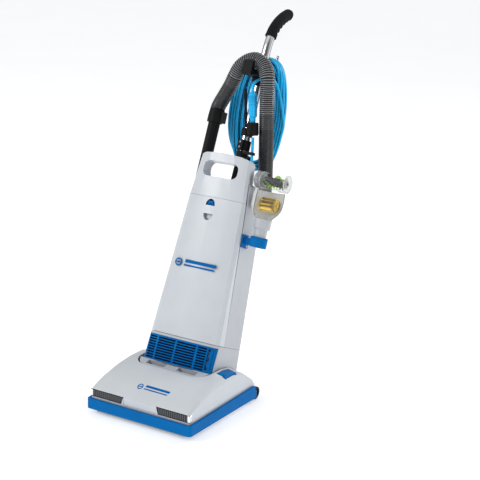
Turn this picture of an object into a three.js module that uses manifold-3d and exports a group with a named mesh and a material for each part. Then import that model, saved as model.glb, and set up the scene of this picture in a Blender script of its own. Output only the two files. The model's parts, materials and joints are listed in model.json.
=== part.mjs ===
// An upright vacuum cleaner: a floor head on wheels, an upright that reclines on it, and tools on board.
// Millimetres, +Z up, front towards -Y. Left and right in the names are as seen from the front: right is +X.
// The upright's own group is turned back by LEAN, so inside it y is depth and z runs up along the body.
import * as THREE from 'three';
import { mergeVertices } from 'three/addons/utils/BufferGeometryUtils.js';
import Module from 'manifold-3d';

const wasm = await Module();
wasm.setup();

// ---- driving dimensions -------------------------------------------------------------------------
const GAP = 0.3;                       // between touching pieces
const LEAN = THREE.MathUtils.degToRad(22.6);
const ORIGIN_SHIFT = [13.125, 207.75];  // puts the origin under the middle of the whole machine

const BASE_HALF = 185.75;              // half the overall width, 371.5
const BASE_FRONT = -200.8;             // overall depth 401.6, wheels included
const BUMPER_THICK = 9;
const BUMPER_END = 167;
const BASE_CORNER = 9;
const TRAY_Z = [12, 15.5];
const ARM_INNER = 130.5;               // the arms start here on each side of the upright
const OPENING_FRONT = -57;
const PIVOT = { y: 75, z: 80 };
const PIN_R = 8;

const BRUSH = { y: -150, z: 30, core: 18, tip: 27, half: 148 };
const DRIVE = { y: -80, z: 60, r: 30, pulley: 9 };
const BELT_X = [-86, -72];
const REAR_WHEEL = { r: 20, y: 180.8, x0: 150, x1: 175.5 };
const FRONT_WHEEL = { r: 11, y: -62, x0: 112, x1: 128 };

const FRONT = -68;                     // front plane of the upright
const WALL = 3.2;
const SPLIT = 205;                     // motor housing below, bag compartment above
const DOOR_TOP = 637.8;
const SHELL_TOP = 700;
const BACK_OF_HANDLE = -15;
const TUBE = { y: 42, r: 13.5 };
const WAND = { x: -128, y: 48, r: 19 };
const TOOL = { x: 157, y: -12 };
const HOSE_R = 23.5;
const CORD_R = 4.4;

// ---- materials ----------------------------------------------------------------------------------
const PALETTE = {
  housing: [0xd3d8de, 0.35, 0],
  housing_grey: [0xb9bec6, 0.45, 0],
  blue: [0x0a5fb4, 0.4, 0],
  lens: [0x4c4e52, 0.2, 0],
  black: [0x17181b, 0.5, 0],
  rubber: [0x1d1e20, 0.9, 0],
  chrome: [0xd9dbdd, 0.12, 1],
  steel: [0x9da1a6, 0.35, 1],
  foam: [0x2d2f33, 0.95, 0],
  hose: [0x46494d, 0.4, 0],
  cord: [0x0d93e0, 0.45, 0],
  clear: [0xdfe5e8, 0.08, 0],
  yellow: [0xe0ac18, 0.35, 0],
  lime: [0xa9dc28, 0.6, 0],
  bristle: [0x26272a, 0.8, 0],
  filter: [0xe9e7df, 0.9, 0],
  bag: [0xd8cfbd, 0.95, 0],
};

function material(name) {
  const [color, roughness, metalness] = PALETTE[name];
  return new THREE.MeshStandardMaterial({ name, color, roughness, metalness });
}

// ---- solids -------------------------------------------------------------------------------------
function solid(geometry) {
  const bare = geometry.clone();
  bare.deleteAttribute('normal');
  bare.deleteAttribute('uv');
  const merged = mergeVertices(bare, 1e-3);
  const position = merged.attributes.position;
  const index = merged.index.array;
  const corner = (i) => new THREE.Vector3().fromBufferAttribute(position, i);
  const triangles = [];
  let volume = 0;
  for (let i = 0; i < index.length; i += 3) {
    const [a, b, c] = [index[i], index[i + 1], index[i + 2]];
    if (a === b || b === c || c === a) continue;
    triangles.push(a, b, c);
    volume += corner(a).dot(corner(b).cross(corner(c)));
  }
  if (volume < 0) triangles.reverse();
  const vertProperties = new Float32Array(position.array);
  const triVerts = new Uint32Array(triangles);
  return new wasm.Manifold(new wasm.Mesh({ numProp: 3, vertProperties, triVerts }));
}

function geometryOf(body) {
  const mesh = body.getMesh();
  const geometry = new THREE.BufferGeometry();
  geometry.setAttribute('position', new THREE.BufferAttribute(new Float32Array(mesh.vertProperties), 3));
  geometry.setIndex(new THREE.BufferAttribute(new Uint32Array(mesh.triVerts), 1));
  geometry.computeVertexNormals();
  return geometry;
}

function union(...bodies) {
  return bodies.reduce((sum, body) => sum.add(body));
}

function block(x, y, z) {
  const geometry = new THREE.BoxGeometry(x[1] - x[0], y[1] - y[0], z[1] - z[0]);
  geometry.translate((x[0] + x[1]) / 2, (y[0] + y[1]) / 2, (z[0] + z[1]) / 2);
  return solid(geometry);
}

function shapeOf(outline) {
  return new THREE.Shape(outline.map(([u, v]) => new THREE.Vector2(u, v)));
}

// An outline pushed along one axis; the outline is in the other two axes, in X, Y, Z order.
function prism(axis, outline, low, high) {
  const geometry = new THREE.ExtrudeGeometry(shapeOf(outline), { depth: high - low, bevelEnabled: false });
  const X = new THREE.Vector3(1, 0, 0);
  const Y = new THREE.Vector3(0, 1, 0);
  const Z = new THREE.Vector3(0, 0, 1);
  const frames = { x: [Y, Z, X], y: [X, Z, Y.clone().negate()], z: [X, Y, Z] };
  const start = { x: [low, 0, 0], y: [0, high, 0], z: [0, 0, low] };
  const frame = new THREE.Matrix4().makeBasis(...frames[axis]).setPosition(...start[axis]);
  return solid(geometry.applyMatrix4(frame));
}

function rod(axis, radius, low, high, at, sides = 16) {
  const geometry = new THREE.CylinderGeometry(radius, radius, high - low, sides);
  geometry.translate(0, (low + high) / 2, 0);
  if (axis === 'x') geometry.rotateZ(-Math.PI / 2);
  if (axis === 'z') geometry.rotateX(Math.PI / 2);
  return solid(geometry.translate(...at));
}

// A profile of [radius, height] points turned about a vertical line.
function turned(profile, at, sides = 16) {
  const points = profile.map(([r, h]) => new THREE.Vector2(r, h));
  const geometry = new THREE.LatheGeometry(points, sides);
  return solid(geometry.rotateX(Math.PI / 2).translate(...at));
}

function pipe(outer, inner, low, high, at, sides = 16) {
  return turned([[inner, low], [outer, low], [outer, high], [inner, high], [inner, low]], at, sides);
}

function roundSection(radius, sides) {
  const outline = [];
  for (let i = 0; i < sides; i++) {
    const angle = (2 * Math.PI * i) / sides;
    outline.push([radius * Math.cos(angle), radius * Math.sin(angle)]);
  }
  return outline;
}

function sweep(curve, radius, steps, sides) {
  const options = { steps, bevelEnabled: false, extrudePath: curve };
  return solid(new THREE.ExtrudeGeometry(shapeOf(roundSection(radius, sides)), options));
}

function smooth(points) {
  return new THREE.CatmullRomCurve3(points.map((p) => new THREE.Vector3(...p)), false, 'centripetal');
}

// Closed sections of equal point count, joined in order and capped at both ends.
function loft(sections) {
  const count = sections[0].length;
  const vertices = sections.flat(2);
  const faces = [];
  for (let s = 0; s + 1 < sections.length; s++) {
    for (let i = 0; i < count; i++) {
      const j = (i + 1) % count;
      const [a, b] = [s * count + i, s * count + j];
      faces.push(a, b, b + count, a, b + count, a + count);
    }
  }
  const last = (sections.length - 1) * count;
  for (let i = 1; i + 1 < count; i++) {
    faces.push(0, i + 1, i);
    faces.push(last, last + i, last + i + 1);
  }
  const geometry = new THREE.BufferGeometry();
  geometry.setAttribute('position', new THREE.BufferAttribute(new Float32Array(vertices), 3));
  geometry.setIndex(faces);
  return solid(geometry);
}

function roundedOutline(half, low, high, radius, steps = 5) {
  const corners = [
    [half - radius, low + radius, -90], [half - radius, high - radius, 0],
    [-half + radius, high - radius, 90], [-half + radius, low + radius, 180],
  ];
  const outline = [];
  for (const [u, v, start] of corners) {
    for (let i = 0; i <= steps; i++) {
      const angle = THREE.MathUtils.degToRad(start + (90 * i) / steps);
      outline.push([u + radius * Math.cos(angle), v + radius * Math.sin(angle)]);
    }
  }
  return outline;
}

function moved(outline, du, dv) {
  return outline.map(([u, v]) => [u + du, v + dv]);
}

// World point of the standing machine, given in the upright's own axes.
function inUpright([x, y, z]) {
  return [x, y * Math.cos(LEAN) - z * Math.sin(LEAN), y * Math.sin(LEAN) + z * Math.cos(LEAN)];
}

// ---- groups -------------------------------------------------------------------------------------
const machine = new THREE.Group();
const upright = new THREE.Group();
upright.rotation.x = -LEAN;
machine.add(upright);

function add(group, name, materialName, body) {
  const mesh = new THREE.Mesh(geometryOf(body), material(materialName));
  mesh.name = name;
  group.add(mesh);
  return mesh;
}

// ---- floor head ---------------------------------------------------------------------------------
function bumperBand(thickness, z) {
  const inset = BUMPER_THICK - thickness;
  const half = BASE_HALF - inset;
  const outline = roundedOutline(half, BASE_FRONT + inset, 400, BASE_CORNER + 0.5 - inset);
  return prism('z', outline, ...z);
}

function buildBumper() {
  const band = bumperBand(BUMPER_THICK, [12, 52]).subtract(bumperBand(0, [5, 60]));
  const behind = block([-250, 250], [BUMPER_END, 500], [0, 90]);
  const notch = block([-250, 250], [BUMPER_END - 7, 500], [38, 90]);
  const slopeTop = prism('x', [[-230, 48], [200, 52], [200, 90], [-230, 90]], -250, 250);
  const slopeLow = prism('x', [[-230, 0], [200, 0], [200, 12], [-230, 16]], -250, 250);
  return band.subtract(behind).subtract(notch).subtract(slopeTop).subtract(slopeLow);
}

// Height of the hood's shoulder line, front to back, and how much the middle stands above it.
const HOOD_LINE = [
  [-190.5, 80, 0], [-165, 96, 4], [-134, 109, 8], [-100, 117, 10], [-64, 124, 10], [-6, 130, 10],
  [45, 130, 9], [85, 122, 8], [124, 101, 6], [153, 76, 4], [171, 53.5, 2],
];
const HOOD_FOOT = 176.2;
const HOOD_BOTTOM = 44;

// One cross-section: upright sides, a soft shoulder that is tighter near the front, and a crowned top.
function hoodSection(y, shoulder, crown, inset, foot) {
  const drop = THREE.MathUtils.clamp(0.8 * (shoulder - 75), 4, 30);
  const low = HOOD_BOTTOM - inset * 2;
  const side = [[foot, low + inset], [foot - 1, shoulder - 0.62 * drop], [foot - 6, shoulder - 0.25 * drop]];
  side.push([foot - 18, shoulder]);
  side.push([foot - 56, shoulder + crown * 0.55]);
  side.push([foot - 112, shoulder + crown * 0.88]);
  const right = side.map(([x, z]) => [x - inset, y, z - inset]);
  const left = right.map(([x, , z]) => [-x, y, z]);
  return [...left, [0, y, shoulder + crown - inset], ...right.reverse()];
}

function hoodShape(inset) {
  const line = HOOD_LINE.map(([y, z, crown], i) => {
    let at = y;
    if (i === 0) at += inset;
    if (i === HOOD_LINE.length - 1) at -= inset;
    const foot = i === 0 ? HOOD_FOOT - 2 : HOOD_FOOT;
    return hoodSection(at, z, crown, inset, foot);
  });
  return loft(line);
}

function uprightOpening(half, front, radius) {
  return prism('z', roundedOutline(half, front, 400, radius), 0, 300);
}

const PEDAL = { x: [139, 169], y: [8, 70], top: 125, drop: 22 };

function buildHood() {
  let hood = hoodShape(0).subtract(hoodShape(WALL));
  hood = hood.subtract(uprightOpening(ARM_INNER, OPENING_FRONT, 58));
  hood = hood.subtract(rod('x', REAR_WHEEL.r + 3, -200, 200, [0, REAR_WHEEL.y, REAR_WHEEL.r]));
  const slot = block([PEDAL.x[0] - 1.5, PEDAL.x[1] + 1.5], [PEDAL.y[0] - 1.5, PEDAL.y[1] + 1.5], [90, 160]);
  const band = prism('y', [[-57, 54], [57, 54], [62, 78], [-62, 78]], -200, -189);
  hood = hood.subtract(slot).subtract(band);
  for (const side of [-1, 1]) hood = hood.subtract(lensShape(side, GAP, 200));
  return hood;
}

function lensShape(side, grow, front) {
  const outline = [[66 - grow, 55 - grow], [182, 55 - grow], [182, 77 + grow], [60 - grow, 77 + grow]];
  const turnedOutline = outline.map(([x, z]) => [side * x, z]);
  return prism('y', turnedOutline, -front, -187.6 + grow);
}

function buildLens(side) {
  const outer = hoodShape(0);
  return lensShape(side, 0, 191).intersect(outer);
}

function buildTray() {
  const plan = roundedOutline(BASE_HALF - BUMPER_THICK - GAP, BASE_FRONT + BUMPER_THICK + GAP, 400, 3);
  let tray = prism('z', plan, ...TRAY_Z).subtract(block([-250, 250], [134, 500], [0, 90]));
  tray = tray.subtract(block([-ARM_INNER, ARM_INNER], [-2, 500], [0, 90]));
  tray = tray.subtract(block([-152, 152], [-180, -120], [0, 90]));
  for (const side of [-1, 1]) {
    const span = (a, b) => (side > 0 ? [a, b] : [-b, -a]);
    const ear = block(span(134, 141), [55, 95], [TRAY_Z[0], 98]);
    const wheelEar = block(span(138, 145), [100, 190], [TRAY_Z[0], 34]);
    const bearing = block(span(152.5, 160), [-170, -130], [TRAY_Z[0], 46]);
    const motorFoot = block(span(20, 50), [-92, -68], [TRAY_Z[0], 29.4]);
    tray = union(tray, ear, wheelEar, bearing, motorFoot);
    tray = tray.subtract(rod('x', PIN_R + GAP, ...span(120, 150), [0, PIVOT.y, PIVOT.z]));
    tray = tray.subtract(rod('x', 4 + GAP, ...span(130, 150), [0, REAR_WHEEL.y, REAR_WHEEL.r]));
    tray = tray.subtract(rod('x', 6 + GAP, ...span(150, 165), [0, BRUSH.y, BRUSH.z]));
    tray = tray.subtract(block(span(FRONT_WHEEL.x0 - 2, FRONT_WHEEL.x1 + 2), [-77, -47], [0, 40]));
  }
  return tray;
}

function buildSole() {
  let sole = prism('z', moved(roundedOutline(165, -83, 83, 14), 0, -104), 5.5, TRAY_Z[0] - GAP);
  sole = sole.subtract(block([-150, 150], [-178, -122], [0, 40]));
  for (const side of [-1, 1]) {
    const slot = [side * (FRONT_WHEEL.x0 - 1.5), side * (FRONT_WHEEL.x1 + 1.5)].sort((a, b) => a - b);
    sole = sole.subtract(block(slot, [-75, -49], [0, 40]));
  }
  return sole;
}

function buildFrontWheel(side) {
  const at = [side * (FRONT_WHEEL.x0 + FRONT_WHEEL.x1) / 2, FRONT_WHEEL.y, FRONT_WHEEL.r];
  return rod('x', FRONT_WHEEL.r, -8, 8, at, 20);
}

function buildRearWheel(side) {
  const span = side > 0 ? [REAR_WHEEL.x0, REAR_WHEEL.x1] : [-REAR_WHEEL.x1, -REAR_WHEEL.x0];
  const at = [0, REAR_WHEEL.y, REAR_WHEEL.r];
  const tyre = rod('x', REAR_WHEEL.r, ...span, at, 28);
  const dish = side > 0 ? [REAR_WHEEL.x1 - 5, 200] : [-200, -REAR_WHEEL.x1 + 5];
  const hollow = rod('x', 13, ...dish, at, 20).subtract(rod('x', 7, ...dish, at, 12));
  return tyre.subtract(hollow).subtract(rod('x', 4 + GAP, -200, 200, at, 12));
}

function buildRearAxle(side) {
  const span = side > 0 ? [138, 173.5] : [-173.5, -138];
  const head = side > 0 ? [132.5, 137.6] : [-137.6, -132.5];
  const at = [0, REAR_WHEEL.y, REAR_WHEEL.r];
  const join = side > 0 ? [137, 139] : [-139, -137];
  return union(rod('x', 4, ...span, at, 12), rod('x', 7, ...head, at, 12), rod('x', 4, ...join, at, 12));
}

function buildPivotPin(side) {
  const span = side > 0 ? [123.4, 141.4] : [-141.4, -123.4];
  const head = side > 0 ? [141.3, 146] : [-146, -141.3];
  const at = [0, PIVOT.y, PIVOT.z];
  return union(rod('x', PIN_R, ...span, at), rod('x', 12, ...head, at));
}

function buildPedal() {
  const [y0, y1] = PEDAL.y;
  const side = [[y0, PEDAL.top + 6], [y0 + 6, PEDAL.top + 9], [y1 - 6, PEDAL.top + 2], [y1, PEDAL.top - 3],
    [y1, PEDAL.top - 10], [y0, PEDAL.top - 10]];
  const pad = prism('x', side, ...PEDAL.x);
  const stem = block([148, 160], [26, 38], [PEDAL.top - 10 - PEDAL.drop, PEDAL.top - 9]);
  const knuckle = rod('x', 4, ...PEDAL.x, [0, y1 - 6, PEDAL.top - 12], 16);
  return union(pad, stem, knuckle);
}

function buildBrushCore() {
  const at = [0, BRUSH.y, BRUSH.z];
  return union(rod('x', BRUSH.core, -BRUSH.half, BRUSH.half, at, 24), rod('x', 6, -159.5, 159.5, at, 12));
}

// Two rows of bristles that wind round the core, leaving the belt's track free.
function twistedRow(low, high, start, turn, at, inner, outer, thick) {
  const steps = 8;
  const sections = [];
  for (let i = 0; i <= steps; i++) {
    const x = low + ((high - low) * i) / steps;
    const angle = start + turn * x;
    const [c, s] = [Math.cos(angle), Math.sin(angle)];
    const corners = [[inner, -thick], [outer, -thick], [outer, thick], [inner, thick]];
    sections.push(corners.map(([r, t]) => [x, at[0] + r * c - t * s, at[1] + r * s + t * c]));
  }
  return loft(sections);
}

function buildBristles() {
  const at = [BRUSH.y, BRUSH.z];
  const [low, high] = [BELT_X[1] + 3, 144];
  const sleeve = pipeX(BRUSH.core + 2, BRUSH.core + GAP, low, high, [0, ...at], 24);
  const row = (start) => twistedRow(low, high, start, 0.02, at, BRUSH.core + 1, BRUSH.tip, 2.5);
  const rows = [0, Math.PI].map(row);
  return union(sleeve, ...rows);
}

function pipeX(outer, inner, low, high, at, sides = 16) {
  return rod('x', outer, low, high, at, sides).subtract(rod('x', inner, low - 1, high + 1, at, sides));
}

function buildDriveMotor() {
  const at = [0, DRIVE.y, DRIVE.z];
  const can = rod('x', DRIVE.r, -58, 66, at, 24);
  return can.subtract(rod('x', 4 + GAP, -60, -40, at, 12));
}

function buildMotorPulley() {
  const at = [0, DRIVE.y, DRIVE.z];
  return union(rod('x', DRIVE.pulley, BELT_X[0] - 1, BELT_X[1] + 1, at, 16), rod('x', 4, -88, -42, at, 12));
}

// The belt is the outline of two circles with their outer tangents, less the same outline 2 mm in.
function beltOutline(grow) {
  const a = { y: DRIVE.y, z: DRIVE.z, r: DRIVE.pulley + grow };
  const b = { y: BRUSH.y, z: BRUSH.z, r: BRUSH.core + grow };
  const slope = Math.atan2(b.z - a.z, b.y - a.y);
  const spread = Math.acos((a.r - b.r) / Math.hypot(b.y - a.y, b.z - a.z));
  const outline = [];
  const steps = 9;
  const arc = (c, from, to) => {
    for (let i = 0; i <= steps; i++) {
      const angle = from + ((to - from) * i) / steps;
      outline.push([c.y + c.r * Math.cos(angle), c.z + c.r * Math.sin(angle)]);
    }
  };
  arc(a, slope + spread, slope + 2 * Math.PI - spread);
  arc(b, slope - spread, slope + spread);
  return outline;
}

function buildBelt() {
  const outer = prism('x', beltOutline(GAP + 2.2), ...BELT_X);
  return outer.subtract(prism('x', beltOutline(GAP + 0.2), BELT_X[0] - 1, BELT_X[1] + 1));
}

function buildFloorHead() {
  add(machine, 'base_plate', 'housing_grey', buildTray());
  add(machine, 'sole_plate', 'housing_grey', buildSole());
  add(machine, 'bumper', 'blue', buildBumper());
  add(machine, 'hood', 'housing', buildHood());
  add(machine, 'lens_left', 'lens', buildLens(-1));
  add(machine, 'lens_right', 'lens', buildLens(1));
  add(machine, 'release_pedal', 'blue', buildPedal());
  add(machine, 'brush_core', 'black', buildBrushCore());
  add(machine, 'brush_bristles', 'bristle', buildBristles());
  add(machine, 'brush_motor', 'steel', buildDriveMotor());
  add(machine, 'motor_pulley', 'steel', buildMotorPulley());
  add(machine, 'drive_belt', 'rubber', buildBelt());
  for (const [name, side] of [['left', -1], ['right', 1]]) {
    add(machine, `front_wheel_${name}`, 'rubber', buildFrontWheel(side));
    add(machine, `rear_wheel_${name}`, 'rubber', buildRearWheel(side));
    add(machine, `rear_axle_${name}`, 'steel', buildRearAxle(side));
    add(machine, `pivot_pin_${name}`, 'steel', buildPivotPin(side));
  }
}

// ---- upright shell ------------------------------------------------------------------------------
// Half the width of the body, its rear face, and the seam between cover and housing, at a height z.
function halfWidth(z) {
  if (z > 640) return 101 - (z - 640) * 0.105;
  return 101 + (640 - Math.max(z, 140)) * 0.0522;
}

function rearFace(z) {
  return 89 + (518 - z) * 0.053;
}

function seam(z) {
  return -38 + Math.max(0, 638 - z) * 0.068;
}

function bodySection(z, inset) {
  const w = halfWidth(z) - inset;
  const f = FRONT + inset;
  const r = rearFace(z) - inset;
  const right = [[0, f], [0.5 * w, f + 3], [0.78 * w, f + 10], [0.93 * w, f + 19], [w, f + 31],
    [w, r - 20], [w - 6, r - 6], [w - 20, r]];
  const left = right.slice(1).reverse().map(([x, y]) => [-x, y]);
  return [...right, ...left].map(([x, y]) => [x, y, z]);
}

function bodyHull(low, high, inset) {
  const knots = [140, 640].filter((z) => z > low && z < high);
  return loft([low, ...knots, high].map((z) => bodySection(z, inset)));
}

// Everything in front of the seam, between two heights.
function frontOfSeam(low, high, shift) {
  const outline = [[-200, low], [seam(low) + shift, low], [seam(high) + shift, high], [-200, high]];
  return prism('x', outline, -200, 200);
}

function halfMoon(x, z, radius, up, depth) {
  const outline = [];
  for (let i = 0; i <= 10; i++) {
    const angle = (Math.PI * i) / 10;
    outline.push([x + radius * Math.cos(angle), z + up * radius * 1.25 * Math.sin(angle)]);
  }
  return prism('y', up > 0 ? outline : outline.reverse(), ...depth);
}

function buildDoor() {
  const [low, high] = [SPLIT + 1.2, DOOR_TOP];
  const shell = bodyHull(low, high, 0).subtract(bodyHull(low + WALL, high - WALL, WALL));
  let door = shell.intersect(frontOfSeam(low - 5, high + 5, -0.2));
  const pocket = halfMoon(-4, 588, 19, -1, [FRONT + 1, FRONT + 16]);
  door = door.add(pocket).subtract(halfMoon(-4, 586.5, 16.5, -1, [FRONT - 20, FRONT + 13]));
  return door.subtract(halfMoon(-4, 612, 16.5, 1, [FRONT - 20, FRONT + 8]));
}

function buildRearHousing() {
  const low = SPLIT + 0.2;
  const slope = (lift) => prism('x', [[-60, SHELL_TOP + lift], [BACK_OF_HANDLE, SHELL_TOP + lift],
    [120, SHELL_TOP - 17 + lift], [120, 760], [-60, 760]], -200, 200);
  const outer = bodyHull(low, SHELL_TOP, 0).subtract(slope(0));
  const inner = bodyHull(low + WALL, SHELL_TOP, WALL).subtract(slope(-WALL));
  let shell = outer.subtract(inner).subtract(frontOfSeam(low - 5, DOOR_TOP + 100, 0.2));
  shell = shell.subtract(rod('z', 17.6, 600, 760, [0, TUBE.y, 0]));
  shell = shell.subtract(block([-72, -48], [20, 34], [660, 720]));
  return shell.subtract(rod('z', 21, 0, 80, [0, 0, 0]).rotate([-90, 0, 0]).translate([28, 50, 312]));
}

function topOutline(inset) {
  const right = [[110, 600], [92.4, 742], [89.2, 757], [80.5, 767], [62, 772.5], [0, 775.5]];
  const left = right.slice(0, 5).reverse().map(([x, z]) => [-x, z]);
  return [...right, ...left].map(([x, z]) => [x - Math.sign(x) * inset, z > 700 ? z - inset : z - 20]);
}

const HANDLE_HOLE = { half: 60.5, low: 700.5, high: 748, radius: 18 };

function buildUpperHousing() {
  const low = DOOR_TOP + 0.6;
  const shell = (inset, bottom) => {
    const hull = bodyHull(bottom, 800, inset).intersect(prism('y', topOutline(inset), -100, 100));
    const face = block([-200, 200], [-200, -38.4], [bottom, 800]);
    const handleFoot = SHELL_TOP + GAP + (inset ? -10 : 0);
    const handle = block([-200, 200], [-200, BACK_OF_HANDLE - inset], [handleFoot, 800]);
    return hull.intersect(union(face, handle));
  };
  const { half, low: holeLow, high: holeHigh, radius } = HANDLE_HOLE;
  const hole = (grow) => roundedOutline(half + grow, holeLow - grow, holeHigh + grow, radius + grow);
  const inner = bodyHull(low + WALL, 800, WALL).intersect(prism('y', topOutline(WALL), -100, 100));
  const cavity = inner.intersect(union(block([-200, 200], [-200, -38.4 + 1], [low, 800]),
    block([-200, 200], [-200, BACK_OF_HANDLE - WALL], [SHELL_TOP - 5, 800])));
  const sleeve = prism('y', hole(WALL), -60, BACK_OF_HANDLE - 1);
  const outside = shell(0, low);
  const lined = outside.subtract(cavity).add(sleeve.intersect(outside));
  return lined.subtract(prism('y', hole(0), -120, 0));
}

const PIVOT_IN_UPRIGHT = inUpright([0, PIVOT.y, PIVOT.z]);

function buildMotorHousing() {
  const [, py, pz] = PIVOT_IN_UPRIGHT;
  const top = SPLIT - 0.2;
  const joint = 119;
  const round = [];
  for (let i = 0; i <= 10; i++) {
    const angle = THREE.MathUtils.degToRad(205 + (145 * i) / 10);
    round.push([py + 66 * Math.cos(angle), pz + 66 * Math.sin(angle)]);
  }
  const lip = [[-62, joint], [-92, 100], [-95, 93], [-88, 86], [-45, 72]];
  const profile = [...lip, ...round, [rearFace(joint), joint + 1], [-62, joint + 1]];
  const plan = prism('z', roundedOutline(126.2, -95, 190, 50), 0, 300);
  const lower = prism('x', profile, -126.2, 126.2).intersect(plan);
  const upper = bodyHull(joint, top, 0).intersect(block([-126.2, 126.2], [-200, 200], [0, 300]));
  const shell = union(upper, lower);
  const hollowTop = bodyHull(joint - 1, top + 5, 7.5);
  const well = prism('x', [[-55, joint], [-52, 80], [-18, 80], [-15, joint]], -118, 118);
  const belly = rod('x', 62.5, -120, 120, [0, py, pz], 24);
  const seat = block([-122.8, 122.8], [-200, -36.6], [joint + 0.3, 197.7]);
  const bulkhead = block([-121, 121], [-34, -29], [joint - 1, 199]);
  const frame = block([-96, 96], [-47, -29], [121.5, 194.5]);
  const filterRoom = block([-92.4, 92.4], [-100, 0], [124.6, 191.4]);
  let housing = shell.subtract(hollowTop).subtract(well).subtract(belly).subtract(seat);
  housing = union(housing, bulkhead, frame).subtract(filterRoom);
  for (const side of [-1, 1]) {
    const span = side > 0 ? [110, 140] : [-140, -110];
    housing = housing.subtract(rod('x', PIN_R + GAP, ...span, [0, py, pz]));
  }
  for (const x of [[-88, -22], [22, 88]]) {
    housing = housing.subtract(block(x, [-92, -72], [104, 130]).rotate([31, 0, 0]).translate([0, 58, 50]));
  }
  return housing;
}

const GRILLE = { low: 119.6, high: 197.4, half: 122.4, rows: 9, pitch: 7.9, slot: 5 };
const LATCH_BAR = { x: [104, 115], z: [128, 190] };

function buildGrille() {
  const { low, high, half, rows, pitch, slot } = GRILLE;
  let grille = bodyHull(low, high, 0).subtract(bodyHull(low - 1, high + 1, 4));
  grille = grille.intersect(block([-half, half], [-200, -37], [low, high]));
  for (let row = 0; row < rows; row++) {
    const z = low + 4.2 + row * pitch;
    for (const x of [[-113, -82], [-76, -12], [-6, 61], [67, 96]]) {
      grille = grille.subtract(block(x, [-200, -20], [z, z + slot]));
    }
  }
  return grille.subtract(block([99.5, 116], [-200, -20], [LATCH_BAR.z[0] - 1, LATCH_BAR.z[1] + 1]));
}

function buildLatchBar() {
  const [x0, x1] = LATCH_BAR.x;
  const [z0, z1] = LATCH_BAR.z;
  const wave = [[x1, z0], [x1, z1]];
  for (let i = 0; i <= 12; i++) {
    const z = z1 - ((z1 - z0) * i) / 12;
    wave.push([x0 + 2.2 + 2.2 * Math.cos((2 * Math.PI * i) / 6), z]);
  }
  const bar = prism('y', wave, -80, -30);
  return bar.intersect(bodyHull(100, SPLIT, -1).subtract(bodyHull(90, SPLIT + 10, 3.8)));
}

function buildInside() {
  const at = [0, TUBE.y - 4, 0];
  const motor = turned([[0, 78], [30, 78], [43, 90], [43, 160], [20, 168], [20, 174], [0, 174]], at, 20);
  add(upright, 'vacuum_motor', 'steel', motor.subtract(rod('z', 4.5, 150, 200, at, 12)));
  const fan = union(rod('z', 38, 182, 190, at, 20), rod('z', 4, 152, 192, at, 12));
  add(upright, 'motor_fan', 'steel', fan);
  add(upright, 'hepa_filter', 'filter', block([-92, 92], [-46, -29], [125, 191]));
  add(upright, 'dust_bag', 'bag', prism('y', moved(roundedOutline(82, -172, 172, 22, 4), 0, 438), -24, 34));
  const plate = block([-60, 60], [-30, 36], [618, 623]).subtract(rod('z', 18, 600, 640, [0, 8, 0]));
  add(upright, 'bag_mount', 'blue', union(plate, pipe(22, 18, 612.5, 620, [0, 8, 0])));
}

function buildDoorParts() {
  add(upright, 'bag_door', 'housing', buildDoor());
  const tongue = block([-18, 10], [FRONT + 5.4, FRONT + 10], [604, 627]);
  const thumbPad = block([-12, 4], [FRONT + 1.5, FRONT + 6], [618.5, 626]);
  add(upright, 'door_latch', 'blue', union(tongue, thumbPad));
}

function buildUprightShell() {
  add(upright, 'motor_housing', 'housing_grey', buildMotorHousing());
  add(upright, 'rear_housing', 'housing_grey', buildRearHousing());
  add(upright, 'upper_housing', 'housing', buildUpperHousing());
  add(upright, 'exhaust_grille', 'blue', buildGrille());
  add(upright, 'grille_latch', 'blue', buildLatchBar());
  buildDoorParts();
  buildInside();
}

// ---- handle and its fittings --------------------------------------------------------------------
const HANDLE_ROUTE = [[0, 42, 644], [0, 42, 1085], [0, 42, 1110], [0, 44.5, 1150], [0, 56, 1196],
  [0, 80, 1231.5], [0, 104, 1253.6], [0, 121, 1265.41]];
const GRIP_R = 18.5;

function buildHandle() {
  const route = smooth(HANDLE_ROUTE);
  const tube = sweep(route, TUBE.r, 18, 14);
  const bore = sweep(route, TUBE.r + GAP, 18, 14);
  add(upright, 'handle_tube', 'chrome', tube.subtract(rod('z', 11, 600, 1110, [0, TUBE.y, 0], 14)));
  const cover = sweep(smooth([[0, 48.3, 1172], ...HANDLE_ROUTE.slice(-4)]), GRIP_R, 8, 14);
  const ball = (radius) => solid(new THREE.SphereGeometry(radius, 14, 8).translate(...HANDLE_ROUTE.at(-1)));
  const grip = cover.add(ball(GRIP_R - 0.05)).subtract(bore).subtract(ball(TUBE.r + 1));
  add(upright, 'handle_grip', 'foam', grip);
}

function collar(inner, outer, low, high) {
  return pipe(outer, inner, low, high, [0, TUBE.y, 0]);
}

// The short cord from the body's top up to the connector.
const PIGTAIL_FOOT = [33.65, 25.95, 849.6];
const PIGTAIL_TOP = [60, 17, 724.3];
const PIGTAIL = smooth([
  PIGTAIL_FOOT, [35, 28, 838], [41, 27, 812], [49, 23, 782], [56.5, 19, 757], [60, 17, 738], PIGTAIL_TOP,
]);

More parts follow.
